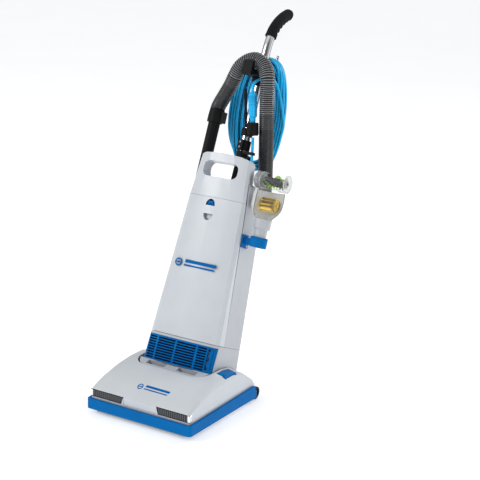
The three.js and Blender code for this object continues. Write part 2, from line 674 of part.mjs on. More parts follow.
function buildTubeFittings() {
  const r = TUBE.r + GAP;
  const outside = [[16.6, 652], [16.6, 702], [24, 702], [24, 706], [16, 711], [15.4, 764]];
  const socket = turned([[r, 652], ...outside, [r, 764], [r, 652]], [0, TUBE.y, 0]);
  add(upright, 'tube_socket', 'black', socket);

  const lug = block([-9, 9], [15, 30], [806, 838]);
  const clamp = union(collar(r, 20, 806, 838), lug).subtract(rod('x', 2.6, -20, 20, [0, 20, 822], 8))
    .subtract(rod('z', r, 780, 860, [0, TUBE.y, 0], 16));
  add(upright, 'tube_clamp', 'black', clamp);
  const cordClip = block([13, 52], [19, 31], [795, 803]).subtract(rod('z', r, 700, 900, [0, TUBE.y, 0], 16));
  const lower = union(collar(r, 18, 780, 804), rod('y', 6, TUBE.y + 15, 96, [0, 0, 792], 12),
    block([-7, 7], [90, 97], [758, 798]), cordClip);
  add(upright, 'cord_hook_lower', 'black', lower.subtract(sweep(PIGTAIL, CORD_R + GAP, 14, 8)));
}

// Saddle on which the hose hangs, with a square keeper block in front of it.
const HOOK = { z: 1035, saddle: 21, block: [1028, 1074] };

function buildHoseHook() {
  const ring = collar(TUBE.r + GAP, 20, 1012, 1042);
  const arc = [];
  for (let i = 0; i <= 8; i++) {
    const angle = Math.PI * (i / 8);
    arc.push([HOOK.saddle * Math.cos(angle), HOOK.z + HOOK.saddle * Math.sin(angle)]);
  }
  const saddle = prism('y', [...arc, [-HOOK.saddle, HOOK.z - 2], [HOOK.saddle, HOOK.z - 2]], -36, 16);
  const web = block([-9, 9], [10, TUBE.y - TUBE.r - 2], [1020, 1040]);
  const keeper = block([-16.5, 16.5], [-48, -35], HOOK.block);
  return union(ring, saddle, web, keeper);
}

const CORD_HOOK_Z = 1060;

const HOOK_ROD = 4.8;

function buildCordHook() {
  const route = smooth([
    [0, TUBE.y + TUBE.r + 6, CORD_HOOK_Z], [0, 85, CORD_HOOK_Z], [0, 108, CORD_HOOK_Z + 2],
    [0, 118, CORD_HOOK_Z + 12], [0, 120, CORD_HOOK_Z + 40], [0, 120, CORD_HOOK_Z + 72],
  ]);
  return sweep(route, HOOK_ROD, 12, 8);
}

function buildCordHookCollar() {
  const r = TUBE.r + GAP;
  const boss = rod('y', 8, TUBE.y + 15, TUBE.y + TUBE.r + 8, [0, 0, CORD_HOOK_Z], 16);
  const body = union(collar(r, 19, CORD_HOOK_Z - 13, CORD_HOOK_Z + 14), boss);
  return body.subtract(rod('y', HOOK_ROD + 0.4, TUBE.y + TUBE.r + 5.5, 90, [0, 0, CORD_HOOK_Z], 16));
}

function buildHoseFittings() {
  add(upright, 'hose_hook', 'black', buildHoseHook());
  add(upright, 'cord_hook_upper', 'chrome', buildCordHook());
  add(upright, 'hook_collar', 'black', buildCordHookCollar());
}

// ---- hose and wand ------------------------------------------------------------------------------
const CUFF = { low: 880, high: 922, r: 25 };
const PORT = { x: 28, y: 126, top: 346 };

const HOSE_ROUTE = [
  [WAND.x, WAND.y, CUFF.high + GAP], [WAND.x, WAND.y, 929], [-122, 45, 943], [-108, 36, 963], [-81, 18, 1003],
  [-66, 5, 1030], [-52, -3, 1055], [-30, -7, 1074], [-2, -9, 1084], [26, -10, 1076], [46, -10, 1055],
  inUpright([57.5, 386, 955]), inUpright([60.5, 382, 925]), inUpright([62, 380, 890]),
  inUpright([64, 380, 780]), inUpright([65, 380, 668]), inUpright([63, 381, 600]),
  [57, 134, 640], [48, 137, 560], [38, 135, 480], [30, 129, 400],
  [PORT.x, PORT.y, PORT.top + 14], [PORT.x, PORT.y, PORT.top + GAP],
];

function buildHoseAndWand() {
  const curve = smooth(HOSE_ROUTE);
  add(upright, 'hose', 'hose', sweep(curve, HOSE_R, 40, 10));
  const elbow = smooth([[PORT.x, 80, 312], [PORT.x, 100, 312], [PORT.x, 118, 318], [PORT.x, PORT.y, 334],
    [PORT.x, PORT.y, PORT.top]]);
  const flange = rod('y', 27, 0, 4, [PORT.x, rearFace(312) + 1.6, 312], 16);
  add(upright, 'hose_port', 'black', union(sweep(elbow, 20.4, 6, 12), flange)
    .subtract(sweep(smooth([[PORT.x, 70, 312], [PORT.x, 100, 312], [PORT.x, 118, 318], [PORT.x, PORT.y, 334],
      [PORT.x, PORT.y, PORT.top + 4]]), 17, 6, 12)));

  const at = [WAND.x, WAND.y, 0];
  add(upright, 'wand', 'black', pipe(WAND.r, 16.8, 556, 905, at));
  const cuff = turned([
    [WAND.r + GAP, CUFF.low], [CUFF.r, CUFF.low], [CUFF.r, CUFF.low + 22], [23.8, CUFF.high],
    [16.5, CUFF.high], [16.5, 905.4], [WAND.r + GAP, 905.4], [WAND.r + GAP, CUFF.low],
  ], at);
  const lug = block([WAND.x + 21, WAND.x + 35], [WAND.y - 8, WAND.y + 8], [CUFF.low + 1, CUFF.high - 6]);
  add(upright, 'hose_cuff', 'black', cuff.add(lug));
}

function buildWandHolder() {
  const at = [WAND.x, WAND.y, 0];
  const edge = (z, out) => [-(halfWidth(z) + out), z];
  const stripOutline = [edge(545, 4), edge(650, 4), edge(650, 0.4), edge(545, 0.4)];
  const strip = prism('y', stripOutline, WAND.y - 14, WAND.y + 14);
  const cup = pipe(23, WAND.r + 0.6, 548, 578, at).add(pipe(22, 12, 548, 552, at));
  const clip = pipe(23, WAND.r + 0.6, 618, 642, at)
    .subtract(block([WAND.x - 40, WAND.x - 8], [WAND.y - 14, WAND.y + 14], [600, 660]));
  const clear = rod('z', WAND.r + 0.6, 552, 700, at);
  return union(strip, cup, clip).subtract(clear).subtract(bodyHull(500, 700, -0.4));
}

function buildToolClip() {
  const ring = pipe(27, 21.3, 519, 545, [TOOL.x, TOOL.y, 0]);
  const edge = (z, out) => [halfWidth(z) + out, z];
  const pad = prism('y', [edge(510, 0.4), edge(510, 5), edge(549, 5), edge(549, 0.4)], -27, 10);
  const arm = block([109, 134], [TOOL.y - 7, TOOL.y + 7], [522, 542]);
  const bore = rod('z', 21.3, 500, 560, [TOOL.x, TOOL.y, 0]);
  return union(ring, pad, arm.subtract(bore));
}

// ---- turbo tool ---------------------------------------------------------------------------------
const HEAD = { z: 721, r: 27.5, x: [100, 212] };

function oval(rx, ry, z) {
  const points = [];
  for (let i = 0; i < 18; i++) {
    const angle = (2 * Math.PI * i) / 18;
    points.push([TOOL.x + rx * Math.cos(angle), TOOL.y + ry * Math.sin(angle), z]);
  }
  return points;
}

// The bulb's heights and half-widths. An inset bulb runs 1 mm past both ends, to cut cleanly.
const BULB = [
  [604.5, 25, 25], [612, 30, 27], [625, 43, 31], [643, 51.5, 33], [675, 52.5, 33], [696, 50, 30],
];

function bulb(inset) {
  const past = inset ? 1 : 0;
  const lift = (i) => (i === 0 ? -past : 0) + (i === BULB.length - 1 ? past : 0);
  return loft(BULB.map(([z, rx, ry], i) => oval(rx - inset, ry - inset, z + lift(i))));
}

function buildTurboTool() {
  const at = [TOOL.x, TOOL.y, 0];
  const neck = turned([
    [16, 521], [20.5, 521], [20.5, 545.6], [22.8, 545.6], [22.8, 549], [19.8, 550.5], [19.8, 573],
    [25.6, 577], [26.5, 604.2], [16, 604.2], [16, 521],
  ], at);
  add(upright, 'tool_neck', 'housing_grey', neck);

  const skin = bulb(0).subtract(bulb(2.4)).intersect(block([0, 300], [-200, 200], [604.5, 692.6]));
  const window = block([TOOL.x - 27, 300], [-200, TOOL.y - 0.2], [600, 760]);
  const windowCut = block([TOOL.x - 27.4, 300], [-200, TOOL.y + 0.2], [600, 760]);
  add(upright, 'tool_shell', 'housing_grey', skin.subtract(windowCut));

  const axis = [0, TOOL.y, HEAD.z];
  const drum = rod('x', HEAD.r, ...HEAD.x, axis, 24);
  const bore = rod('x', HEAD.r - 2.4, HEAD.x[0] + 2.4, HEAD.x[1] - 2.4, axis, 24);
  const mouth = block([134, 207], [-200, 200], [HEAD.z + 14, 800]);
  const throat = block([128, 186], [TOOL.y - 10, TOOL.y + 10], [680, 710]);
  const frontBulb = bulb(0).subtract(bulb(2.4)).intersect(window);
  const clearBody = frontBulb.intersect(block([0, 300], [-200, 200], [604.5, 700]))
    .subtract(rod('x', HEAD.r - 1, 0, 300, axis, 24));
  const cover = drum.add(clearBody).subtract(bore).subtract(mouth).subtract(throat);
  const endHole = rod('x', 3 + GAP, 90, 240, axis, 12);
  add(upright, 'tool_cover', 'clear', cover.subtract(endHole));

  const turbineAt = [0, TOOL.y, 651];
  const blades = [];
  for (let i = 0; i < 8; i++) {
    const blade = block([141, 187], [-1.2, 1.2], [8, 22]).rotate([45 * i, 0, 0]);
    blades.push(blade.translate(turbineAt));
  }
  const sides = union(rod('x', 20, 138, 141, turbineAt), rod('x', 20, 187, 190, turbineAt));
  add(upright, 'tool_turbine', 'yellow', union(rod('x', 9, 134, 194, turbineAt, 12), sides, ...blades));

  const core = union(rod('x', 13, 134, 206, axis, 20), rod('x', 3, 100.5, 211.5, axis, 12));
  add(upright, 'tool_brush', 'black', core);
  const centre = [TOOL.y, HEAD.z];
  const sleeve = pipeX(14.8, 13 + GAP, 136, 204, axis, 20);
  const rows = [0, Math.PI].map((start) => twistedRow(136, 204, start, 0.04, centre, 14, 22.5, 1.8));
  add(upright, 'tool_bristles', 'lime', union(sleeve, ...rows));
}

// ---- power cord ---------------------------------------------------------------------------------
// The connector hangs beside the tube: its axis runs from CONNECTOR_TOP down to CONNECTOR_FOOT.
const CONNECTOR_TOP = new THREE.Vector3(13, -5, 988);
const CONNECTOR_FOOT = new THREE.Vector3(33, 25, 854);
const COIL = { x: -11, y: 461, z: 824, a: 103.5, b: 180, innerA: 58, innerB: 150, thick: 38, tilt: 11.4 };

function alongConnector(body) {
  const down = CONNECTOR_FOOT.clone().sub(CONNECTOR_TOP).normalize();
  const turn = new THREE.Quaternion().setFromUnitVectors(new THREE.Vector3(0, 0, -1), down);
  const group = new THREE.Group();
  group.quaternion.copy(turn);
  group.position.copy(CONNECTOR_TOP);
  group.updateMatrix();
  return solid(geometryOf(body).applyMatrix4(group.matrix));
}

function buildConnector() {
  const middle = [0, 0, 0];
  const plug = turned([
    [0, 0], [6, 0], [8, -6], [13, -12], [13.6, -40], [12, -44], [13.6, -48], [13, -78], [8.5, -84], [8, -112],
    [0, -112],
  ], middle, 14);
  const bore = 8 + GAP;
  const cup = turned([[bore, -98], [17, -98], [18, -102], [18, -132], [15, -138], [bore, -138], [bore, -98]],
    middle, 14);
  const ring = collar(TUBE.r + GAP, 18.5, 852, 876);
  const arm = block([12, 26], [24, 40], [856, 872]);
  const stay = block([-28, -22], [-4, 4], [-112, 6]).add(block([-26, -10], [-4, 4], [-112, -104]));
  const hollow = turned([[0, -90], [bore, -90], [bore, -150], [0, -150]], middle, 14);
  add(upright, 'cord_connector', 'cord', alongConnector(plug));
  const seat = turned([[0, -113], [8.6, -113], [8.6, -119], [0, -119]], middle, 14);
  const holder = union(alongConnector(cup), alongConnector(stay), ring, arm)
    .subtract(alongConnector(hollow))
    .add(alongConnector(seat))
    .subtract(rod('z', TUBE.r + GAP, 800, 900, [0, TUBE.y, 0]));
  add(upright, 'connector_holder', 'black', holder);
}

function superOval(a, b, steps = 28) {
  const power = 2 / 2.15;
  const outline = [];
  for (let i = 0; i < steps; i++) {
    const angle = (2 * Math.PI * i) / steps;
    const [c, s] = [Math.cos(angle), Math.sin(angle)];
    outline.push([a * Math.sign(c) * Math.abs(c) ** power, b * Math.sign(s) * Math.abs(s) ** power]);
  }
  return outline;
}

function buildCoil() {
  const outer = prism('y', superOval(COIL.a, COIL.b), -COIL.thick / 2, COIL.thick / 2);
  const ring = outer.subtract(prism('y', superOval(COIL.innerA, COIL.innerB), -COIL.thick, COIL.thick));
  return ring.rotate([-COIL.tilt, 0, 0]).translate([COIL.x, COIL.y, COIL.z]);
}

function buildCords() {
  buildConnector();
  const above = (d) => CONNECTOR_TOP.clone().lerp(CONNECTOR_FOOT, -d / 138.8).toArray();
  const lead = smooth([
    above(0.4), above(8), [11.6, -7.4, 1003.5], [13.2, -6, 1012], [17.2, -1.5, 1021], [22.8, 5, 1028],
    [28.4, 13, 1033.5], [35, 23, 1038], [43, 37, 1039.5], [53, 51, 1032], [62.5, 61, 1015],
    [71, 68.5, 993], [79, 77.3, 966.3],
  ]);
  add(upright, 'cord_lead', 'cord', sweep(lead, CORD_R, 18, 8));
  const relief = [[0, 698.2], [12, 698.2], [12, 701], [8.5, 703.5], [6, 724], [0, 724]];
  add(upright, 'strain_relief', 'black', turned(relief, [PIGTAIL_TOP[0], PIGTAIL_TOP[1], 0], 16));
  add(upright, 'cord_pigtail', 'cord', sweep(PIGTAIL, CORD_R, 14, 8));
  add(machine, 'cord_coil', 'cord', buildCoil());
  const plug = turned([[0, 0], [6, 0], [12, 8], [15, 22], [15, 46], [0, 46]], [0, 0, 0], 16)
    .add(block([-6.5, -4.9], [-3.2, 3.2], [40, 64])).add(block([4.9, 6.5], [-3.2, 3.2], [40, 64]));
  add(machine, 'cord_plug', 'black', plug.rotate([-COIL.tilt, 0, 0]).translate([-107, 491, 797.6]));
}

function buildSwitch() {
  const rocker = prism('y', [[-70.8, 690], [-49.2, 690], [-49.2, 700.5], [-60, 698.2], [-70.8, 703]], 21, 33);
  add(upright, 'power_switch', 'black', rocker);
}

buildFloorHead();
buildUprightShell();
buildHandle();
buildTubeFittings();
buildHoseFittings();
buildHoseAndWand();
add(upright, 'wand_holder', 'black', buildWandHolder());
add(upright, 'tool_clip', 'blue', buildToolClip());
buildTurboTool();
buildSwitch();
buildCords();

machine.position.set(-ORIGIN_SHIFT[0], -ORIGIN_SHIFT[1], 0);

export default machine;
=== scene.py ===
import math
import random

import bmesh
import bpy
from mathutils import Matrix, Vector
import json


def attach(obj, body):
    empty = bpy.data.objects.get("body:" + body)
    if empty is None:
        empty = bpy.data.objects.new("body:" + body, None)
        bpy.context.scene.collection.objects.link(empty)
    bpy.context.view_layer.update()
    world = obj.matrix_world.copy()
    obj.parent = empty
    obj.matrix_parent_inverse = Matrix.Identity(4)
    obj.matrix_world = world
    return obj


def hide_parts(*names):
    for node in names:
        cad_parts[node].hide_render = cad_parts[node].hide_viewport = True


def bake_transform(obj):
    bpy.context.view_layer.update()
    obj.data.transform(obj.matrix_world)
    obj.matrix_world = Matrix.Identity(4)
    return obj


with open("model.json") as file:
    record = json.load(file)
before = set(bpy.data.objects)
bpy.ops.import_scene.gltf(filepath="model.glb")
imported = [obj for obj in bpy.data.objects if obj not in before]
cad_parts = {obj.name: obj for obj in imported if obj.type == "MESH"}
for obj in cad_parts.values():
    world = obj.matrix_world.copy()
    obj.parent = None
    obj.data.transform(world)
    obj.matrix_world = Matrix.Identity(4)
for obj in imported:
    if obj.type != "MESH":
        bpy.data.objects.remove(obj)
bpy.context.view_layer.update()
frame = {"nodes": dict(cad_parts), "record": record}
random.seed(7)

# ---- frames ------------------------------------------------------------------------------------------
# Shapes are written in millimetres: on the floor head's own axes, or on the upright's, whose third
# axis runs up along the body. Both matrices turn them into the row frame, in metres.
MM = 0.001
HEAD_ORIGIN = (-13.125, -207.75, 0)
LEAN = math.radians(22.6)
ON_HEAD = Matrix.Scale(MM, 4) @ Matrix.Translation(HEAD_ORIGIN)
ON_BODY = ON_HEAD @ Matrix.Rotation(-LEAN, 4, "X")
TO_BODY = ON_BODY.inverted() @ ON_HEAD

# On the upright's axes: X across, P from front to back, and Q up along the body.
TUBE_R = 13.5
WAND_X, WAND_P = -128, 48
TOOL_X, TOOL_P = 157, -12
PORT = (28, 126, 346)
FRONT = -68
CORD_D = 8.8
HOSE_D = 47


def body_point(x, y, z):
    """A point on the floor head's axes, given on the upright's axes."""
    return tuple(TO_BODY @ Vector((x, y, z)))


# ---- shader nodes ------------------------------------------------------------------------------------
def shader(name, **values):
    made = bpy.data.materials.new(name)
    made.use_nodes = True
    surface = made.node_tree.nodes["Principled BSDF"]
    for key, value in values.items():
        surface.inputs[key.replace("_", " ")].default_value = value
    return made, made.node_tree, surface


def noise(tree, scale, detail=3, stretch=(1, 1, 1)):
    place = tree.nodes.new("ShaderNodeTexCoord")
    scaled = tree.nodes.new("ShaderNodeMapping")
    scaled.inputs["Scale"].default_value = stretch
    made = tree.nodes.new("ShaderNodeTexNoise")
    made.inputs["Scale"].default_value = scale
    made.inputs["Detail"].default_value = detail
    tree.links.new(place.outputs["Object"], scaled.inputs["Vector"])
    tree.links.new(scaled.outputs["Vector"], made.inputs["Vector"])
    return made.outputs["Fac"]


def graded(tree, source, stops):
    """A colour for each level of source, from (level, colour) stops."""
    made = tree.nodes.new("ShaderNodeValToRGB")
    elements = made.color_ramp.elements
    while len(elements) < len(stops):
        elements.new(0.5)
    for element, (level, colour) in zip(elements, stops):
        element.position = level
        element.color = (*colour, 1)
    tree.links.new(source, made.inputs["Fac"])
    return made.outputs["Color"]


def ramp(tree, source, low, high, start=0.35, end=0.65):
    return graded(tree, source, [(start, low), (end, high)])


def mapped(tree, source, start=0, end=1, low=0, high=1):
    """Turns the levels start to end of source into low to high."""
    made = tree.nodes.new("ShaderNodeMapRange")
    for key, value in (("From Min", start), ("From Max", end), ("To Min", low), ("To Max", high)):
        made.inputs[key].default_value = value
    tree.links.new(source, made.inputs["Value"])
    return made.outputs["Result"]


def mixed(tree, colour, blend="MIX"):
    """A colour mix whose first colour is linked already."""
    mix = tree.nodes.new("ShaderNodeMix")
    mix.data_type = "RGBA"
    mix.blend_type = blend
    tree.links.new(colour, mix.inputs["A"])
    return mix


def roughen(tree, surface, source, low, high):
    tree.links.new(mapped(tree, source, low=low, high=high), surface.inputs["Roughness"])


def bump(tree, surface, source, strength, depth):
    made = tree.nodes.new("ShaderNodeBump")
    made.inputs["Strength"].default_value = strength
    made.inputs["Distance"].default_value = depth
    tree.links.new(source, made.inputs["Height"])
    tree.links.new(made.outputs["Normal"], surface.inputs["Normal"])


# ---- camera and lights -------------------------------------------------------------------------------
# The camera's place in metres, and its yaw, elevation and roll in degrees.
CAMERA_AT = (2.18282, -3.47941, 1.71502)
CAMERA_AIM = (31.2487, 16.7618, 1.6988)
LENS, SENSOR = 105.2, 36
CLIP_END = 200
SKY_STRENGTH = 0.72
SKY_STOPS = [(0.0, (1.0, 1.0, 1.0)), (0.16, (0.52, 0.54, 0.58)), (0.75, (1.0, 1.0, 1.0))]


def aim(yaw, elevation, roll):
    a, e, r = map(math.radians, (yaw, elevation, roll))
    back = Vector((math.sin(a) * math.cos(e), -math.cos(a) * math.cos(e), math.sin(e)))
    right = (-back).cross(Vector((0, 0, 1))).normalized()
    up = right.cross(-back)
    right, up = math.cos(r) * right + math.sin(r) * up, math.cos(r) * up - math.sin(r) * right
    return Matrix((right, up, back)).transposed().to_4x4()


scene = bpy.context.scene
camera = bpy.data.objects.new("camera", bpy.data.cameras.new("camera"))
scene.collection.objects.link(camera)
scene.camera = camera
camera.data.sensor_width = SENSOR
camera.data.lens = LENS
camera.data.clip_end = CLIP_END
camera.matrix_world = Matrix.Translation(CAMERA_AT) @ aim(*CAMERA_AIM)


def area_light(name, place, target, size, power, colour=(1, 1, 1)):
    lamp = bpy.data.lights.new(name, "AREA")
    lamp.shape = "DISK"
    lamp.size = size
    lamp.energy = power
    lamp.color = colour
    item = bpy.data.objects.new(name, lamp)
    item.location = place
    item.rotation_euler = (Vector(target) - Vector(place)).to_track_quat("-Z", "Y").to_euler()
    scene.collection.objects.link(item)


def studio_sky():
    """A white studio, greyer in a band above the horizon, so that the pale plastic has an outline."""
    sky = bpy.data.worlds.new("studio")
    scene.world = sky
    sky.use_nodes = True
    tree = sky.node_tree
    direction = tree.nodes.new("ShaderNodeTexCoord")
    split = tree.nodes.new("ShaderNodeSeparateXYZ")
    tree.links.new(direction.outputs["Generated"], split.inputs["Vector"])
    background = tree.nodes["Background"]
    tree.links.new(graded(tree, split.outputs["Z"], SKY_STOPS), background.inputs["Color"])
    background.inputs["Strength"].default_value = SKY_STRENGTH


area_light("key", (-2.6, -3.2, 3.2), (0, 0, 0.5), 2.0, 68, (1, 0.99, 0.97))
area_light("fill", (3.6, -1.8, 1.6), (0, 0, 0.5), 1.6, 13, (0.98, 0.99, 1))
area_light("rim", (1.6, 3.0, 2.8), (0, 0, 0.7), 1.4, 40)
scene.view_settings.view_transform = "Standard"
studio_sky()

# ---- materials ---------------------------------------------------------------------------------------
MOTTLE_SCALE, SHEEN_SCALE = 14, 60
GAP_REACH, GAP_SAMPLES = 0.012, 8


def paled_at_edges(tree, colour, edge, low=0.52, high=0.62):
    """Lets the colour turn paler along sharp outside edges."""
    shape = tree.nodes.new("ShaderNodeNewGeometry")
    mix = mixed(tree, colour)
    mix.inputs["B"].default_value = (*edge, 1)
    tree.links.new(mapped(tree, shape.outputs["Pointiness"], low, high), mix.inputs["Factor"])
    return mix.outputs["Result"]


def moulded(name, colour, rough, grain=900, depth=0.00006, spread=0.05, coat=0.0, edge=None, shine=0.5):
    """Moulded plastic: a fine grain, slight mottling, and a roughness that varies over the piece."""
    made, tree, surface = shader(name, Coat_Weight=coat, Coat_Roughness=0.12, Specular_IOR_Level=shine)
    darker = [c * (1 - spread) for c in colour]
    lighter = [min(1, c * (1 + spread)) for c in colour]
    tint = ramp(tree, noise(tree, MOTTLE_SCALE), darker, lighter)
    if edge:
        tint = paled_at_edges(tree, tint, edge)
    tree.links.new(tint, surface.inputs["Base Color"])
    roughen(tree, surface, noise(tree, SHEEN_SCALE), rough * 0.85, rough * 1.2)
    bump(tree, surface, noise(tree, grain, 2), 0.35, depth)
    return made


def shaded_gaps(made, depth):
    """Darkens the colour where another surface lies close, as between the strands of a wound cord."""
    tree = made.node_tree
    base = tree.nodes["Principled BSDF"].inputs["Base Color"]
    near = tree.nodes.new("ShaderNodeAmbientOcclusion")
    near.samples = GAP_SAMPLES
    near.inputs["Distance"].default_value = GAP_REACH
    mix = mixed(tree, base.links[0].from_socket, "MULTIPLY")
    mix.inputs["Factor"].default_value = 1
    tree.links.new(mapped(tree, near.outputs["AO"], 0.35, 0.85, low=depth), mix.inputs["B"])
    tree.links.new(mix.outputs["Result"], base)
    return made


def painted_glow(made, glow):
    """Thin pale plastic given a painted glow of its own, so that its inside, which lies in the body's shadow,
    isn't dark.
    """
    surface = made.node_tree.nodes["Principled BSDF"]
    surface.inputs["Emission Color"].default_value = (1.0, 0.99, 0.96, 1)
    surface.inputs["Emission Strength"].default_value = glow
    return made


def metal(name, colour, rough, stretch=(1, 1, 1), grain=400):
    made, tree, surface = shader(name, Metallic=1.0)
    dark = [c * 0.93 for c in colour]
    tree.links.new(ramp(tree, noise(tree, 30), dark, colour), surface.inputs["Base Color"])
    roughen(tree, surface, noise(tree, grain, 3, stretch), rough * 0.7, rough * 1.5)
    bump(tree, surface, noise(tree, grain, 3, stretch), 0.12, 0.00003)
    return made


# The painted reflection: how bright the plated tube is painted, from where it faces the eye to its edge.
TUBE_PAINTED_REFLECTION = [(0.0, 0.16), (0.05, 0.2), (0.10, 0.85), (0.42, 0.95), (0.60, 0.62), (0.74, 0.09), (1.0, 0.03)]


def polished_tube():
    """Plated steel with a painted reflection: bright, with the dark lines along it that a studio leaves on a
    narrow tube.
    """
    made, tree, surface = shader("chrome", Metallic=1.0, Specular_Tint=(0.10, 0.10, 0.11, 1))
    facing = tree.nodes.new("ShaderNodeLayerWeight")
    facing.inputs["Blend"].default_value = 0.5
    reflection_bands = [(where, (level, level, level * 1.02)) for where, level in TUBE_PAINTED_REFLECTION]
    tree.links.new(graded(tree, facing.outputs["Facing"], reflection_bands), surface.inputs["Base Color"])
    roughen(tree, surface, noise(tree, 180, 3, (1, 1, 0.2)), 0.05, 0.12)
    bump(tree, surface, noise(tree, 260), 0.05, 0.00002)
    return made


def ribbed_lens():
    """Smoked lens with fine moulded ribs that run up it."""
    made = moulded("lens", (0.05, 0.052, 0.055), 0.2, grain=300, depth=0.00002, coat=0.15, shine=0.25)
    tree = made.node_tree
    surface = tree.nodes["Principled BSDF"]
    place = tree.nodes.new("ShaderNodeTexCoord")
    waves = tree.nodes.new("ShaderNodeTexWave")
    waves.inputs["Scale"].default_value = 42
    waves.inputs["Distortion"].default_value = 0.6
    tree.links.new(place.outputs["Object"], waves.inputs["Vector"])
    tint = ramp(tree, waves.outputs["Fac"], (0.016, 0.017, 0.018), (0.085, 0.088, 0.094), 0.2, 0.8)
    tree.links.new(tint, surface.inputs["Base Color"])
    bump(tree, surface, waves.outputs["Fac"], 0.25, 0.0003)
    return made


def clear_plastic(name="clear", facing_veil=0.045, edge_veil=0.62):
    """Clear moulded plastic: seen through where it faces the eye, and a painted dark grey line at its edges,
    where the eye looks along it.
    """
    made, tree, surface = shader(name, Coat_Weight=0.4, Coat_Roughness=0.05)
    weight = tree.nodes.new("ShaderNodeLayerWeight")
    weight.inputs["Blend"].default_value = 0.35
    facing = weight.outputs["Facing"]
    # Painted shade: pale grey where the plastic faces the eye, dark grey where it turns away.
    tint = ramp(tree, facing, (0.86, 0.88, 0.89), (0.12, 0.13, 0.14), 0.30, 0.90)
    tree.links.new(tint, surface.inputs["Base Color"])
    veil = mapped(tree, facing, 0.30, low=facing_veil, high=edge_veil)
    tree.links.new(veil, surface.inputs["Alpha"])
    roughen(tree, surface, noise(tree, 60), 0.03, 0.10)
    return made


def plastics():
    """The moulded finishes: name, colour, roughness, and what sets each apart."""
    rows = [
        ("housing", (0.60, 0.635, 0.672), 0.30, dict(spread=0.02, coat=0.25)),
        ("housing_grey", (0.49, 0.515, 0.55), 0.36, dict(spread=0.03, coat=0.1)),
        ("shell", (0.62, 0.64, 0.66), 0.3, dict(spread=0.02, coat=0.3)),
        ("blue", (0.0004, 0.128, 0.410), 0.42, dict(spread=0.06, edge=(0.004, 0.19, 0.5), shine=0.05)),
        ("navy", (0.001, 0.022, 0.085), 0.5, dict(spread=0.1)),
        ("black", (0.0035, 0.0035, 0.004), 0.5, dict(spread=0.12, edge=(0.009, 0.009, 0.010), shine=0.15)),
        ("rubber", (0.010, 0.010, 0.011), 0.65, dict(grain=500, depth=0.0001, spread=0.15, shine=0.3)),
        ("hose", (0.009, 0.0095, 0.011), 0.27, dict(grain=700, spread=0.1, shine=0.55)),
        # Copies of the black hose with light painted in: a painted highlight for rib crests, a faint painted
        # highlight lower down, and painted shade for the grooves.
        ("hose_painted_highlight", (0.15, 0.155, 0.165), 0.14, dict(grain=700, spread=0.1, coat=0.8)),
        ("hose_faint_painted_highlight", (0.045, 0.047, 0.052), 0.26, dict(grain=700, spread=0.1, shine=0.6)),
        ("hose_painted_shade", (0.006, 0.006, 0.007), 0.6, dict(grain=700, spread=0.2, shine=0.1)),
        ("cord", (0.001, 0.50, 0.97), 0.28, dict(grain=1200, spread=0.06, shine=0.5)),
        ("yellow", (0.92, 0.60, 0.004), 0.3, dict(spread=0.06, shine=0.4)),
        ("lime", (0.42, 0.80, 0.01), 0.45, dict(spread=0.15, shine=0.2)),
        ("bristle", (0.02, 0.02, 0.022), 0.5, dict(spread=0.2)),
        ("filter", (0.80, 0.79, 0.75), 0.8, dict(grain=600, depth=0.0002, spread=0.04)),
        ("bag", (0.66, 0.60, 0.50), 0.85, dict(grain=350, depth=0.0003, spread=0.06)),
        ("foam", (0.007, 0.0075, 0.009), 0.82, dict(grain=420, depth=0.0005, spread=0.2, shine=0.2)),
    ]
    return {name: moulded(name, colour, rough, **rest) for name, colour, rough, rest in rows}


MATERIALS = {
    **plastics(),
    "lens": ribbed_lens(),
    "chrome": polished_tube(),
    "clear": clear_plastic(),
    "rim": clear_plastic("rim", 0.35, 0.8),
    "steel": metal("steel", (0.55, 0.56, 0.58), 0.30, (1, 1, 12)),
}
for finish, gap_depth in (("housing", 0.45), ("housing_grey", 0.45), ("cord", 0.16), ("yellow", 0.3)):
    shaded_gaps(MATERIALS[finish], gap_depth)
# The turbo tool's shell gets a painted glow, as it lies in the body's shadow.
painted_glow(MATERIALS["shell"], 0.12)


# ---- shapes ------------------------------------------------------------------------------------------
# Edges sharper than this are softened, and those of CAD pieces sharper than SHARP_OVER stay sharp.
BEVEL_OVER = math.radians(32)
SHARP_OVER = 34


def piece(name, verts, faces, where, slot, body, angle=35, bevel=0, segments=2):
    """A mesh from points in millimetres, placed by the matrix, with one material, riding on a body."""
    mesh = bpy.data.meshes.new(name)
    mesh.from_pydata([tuple(where @ Vector(v)) for v in verts], [], faces)
    work = bmesh.new()
    work.from_mesh(mesh)
    bmesh.ops.recalc_face_normals(work, faces=work.faces)
    work.to_mesh(mesh)
    work.free()
    item = bpy.data.objects.new(name, mesh)
    scene.collection.objects.link(item)
    mesh.materials.append(MATERIALS[slot])
    if bevel:
        soften(item, bevel, segments)
    shade(item, angle)
    if body:
        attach(item, body)
    return item


def soften(item, width, segments=2):
    made = item.modifiers.new("soft_edges", "BEVEL")
    made.width = width * MM
    made.segments = segments
    made.limit_method = "ANGLE"
    made.angle_limit = BEVEL_OVER
    made.harden_normals = False
    flatten = item.modifiers.new("flat_faces", "WEIGHTED_NORMAL")
    flatten.keep_sharp = True
    flatten.weight = 100


def shade(item, angle):
    item.data.shade_smooth()
    bpy.context.view_layer.objects.active = item
    for other in bpy.context.selected_objects:
        other.select_set(False)
    item.select_set(True)
    bpy.ops.object.shade_smooth_by_angle(angle=math.radians(angle), keep_sharp_edges=False)


# Where an outline's (u, v) and its distance along the axis go in (x, y, z).
ALONG = {"x": lambda u, v, t: (t, u, v), "y": lambda u, v, t: (u, t, v), "z": lambda u, v, t: (u, v, t)}


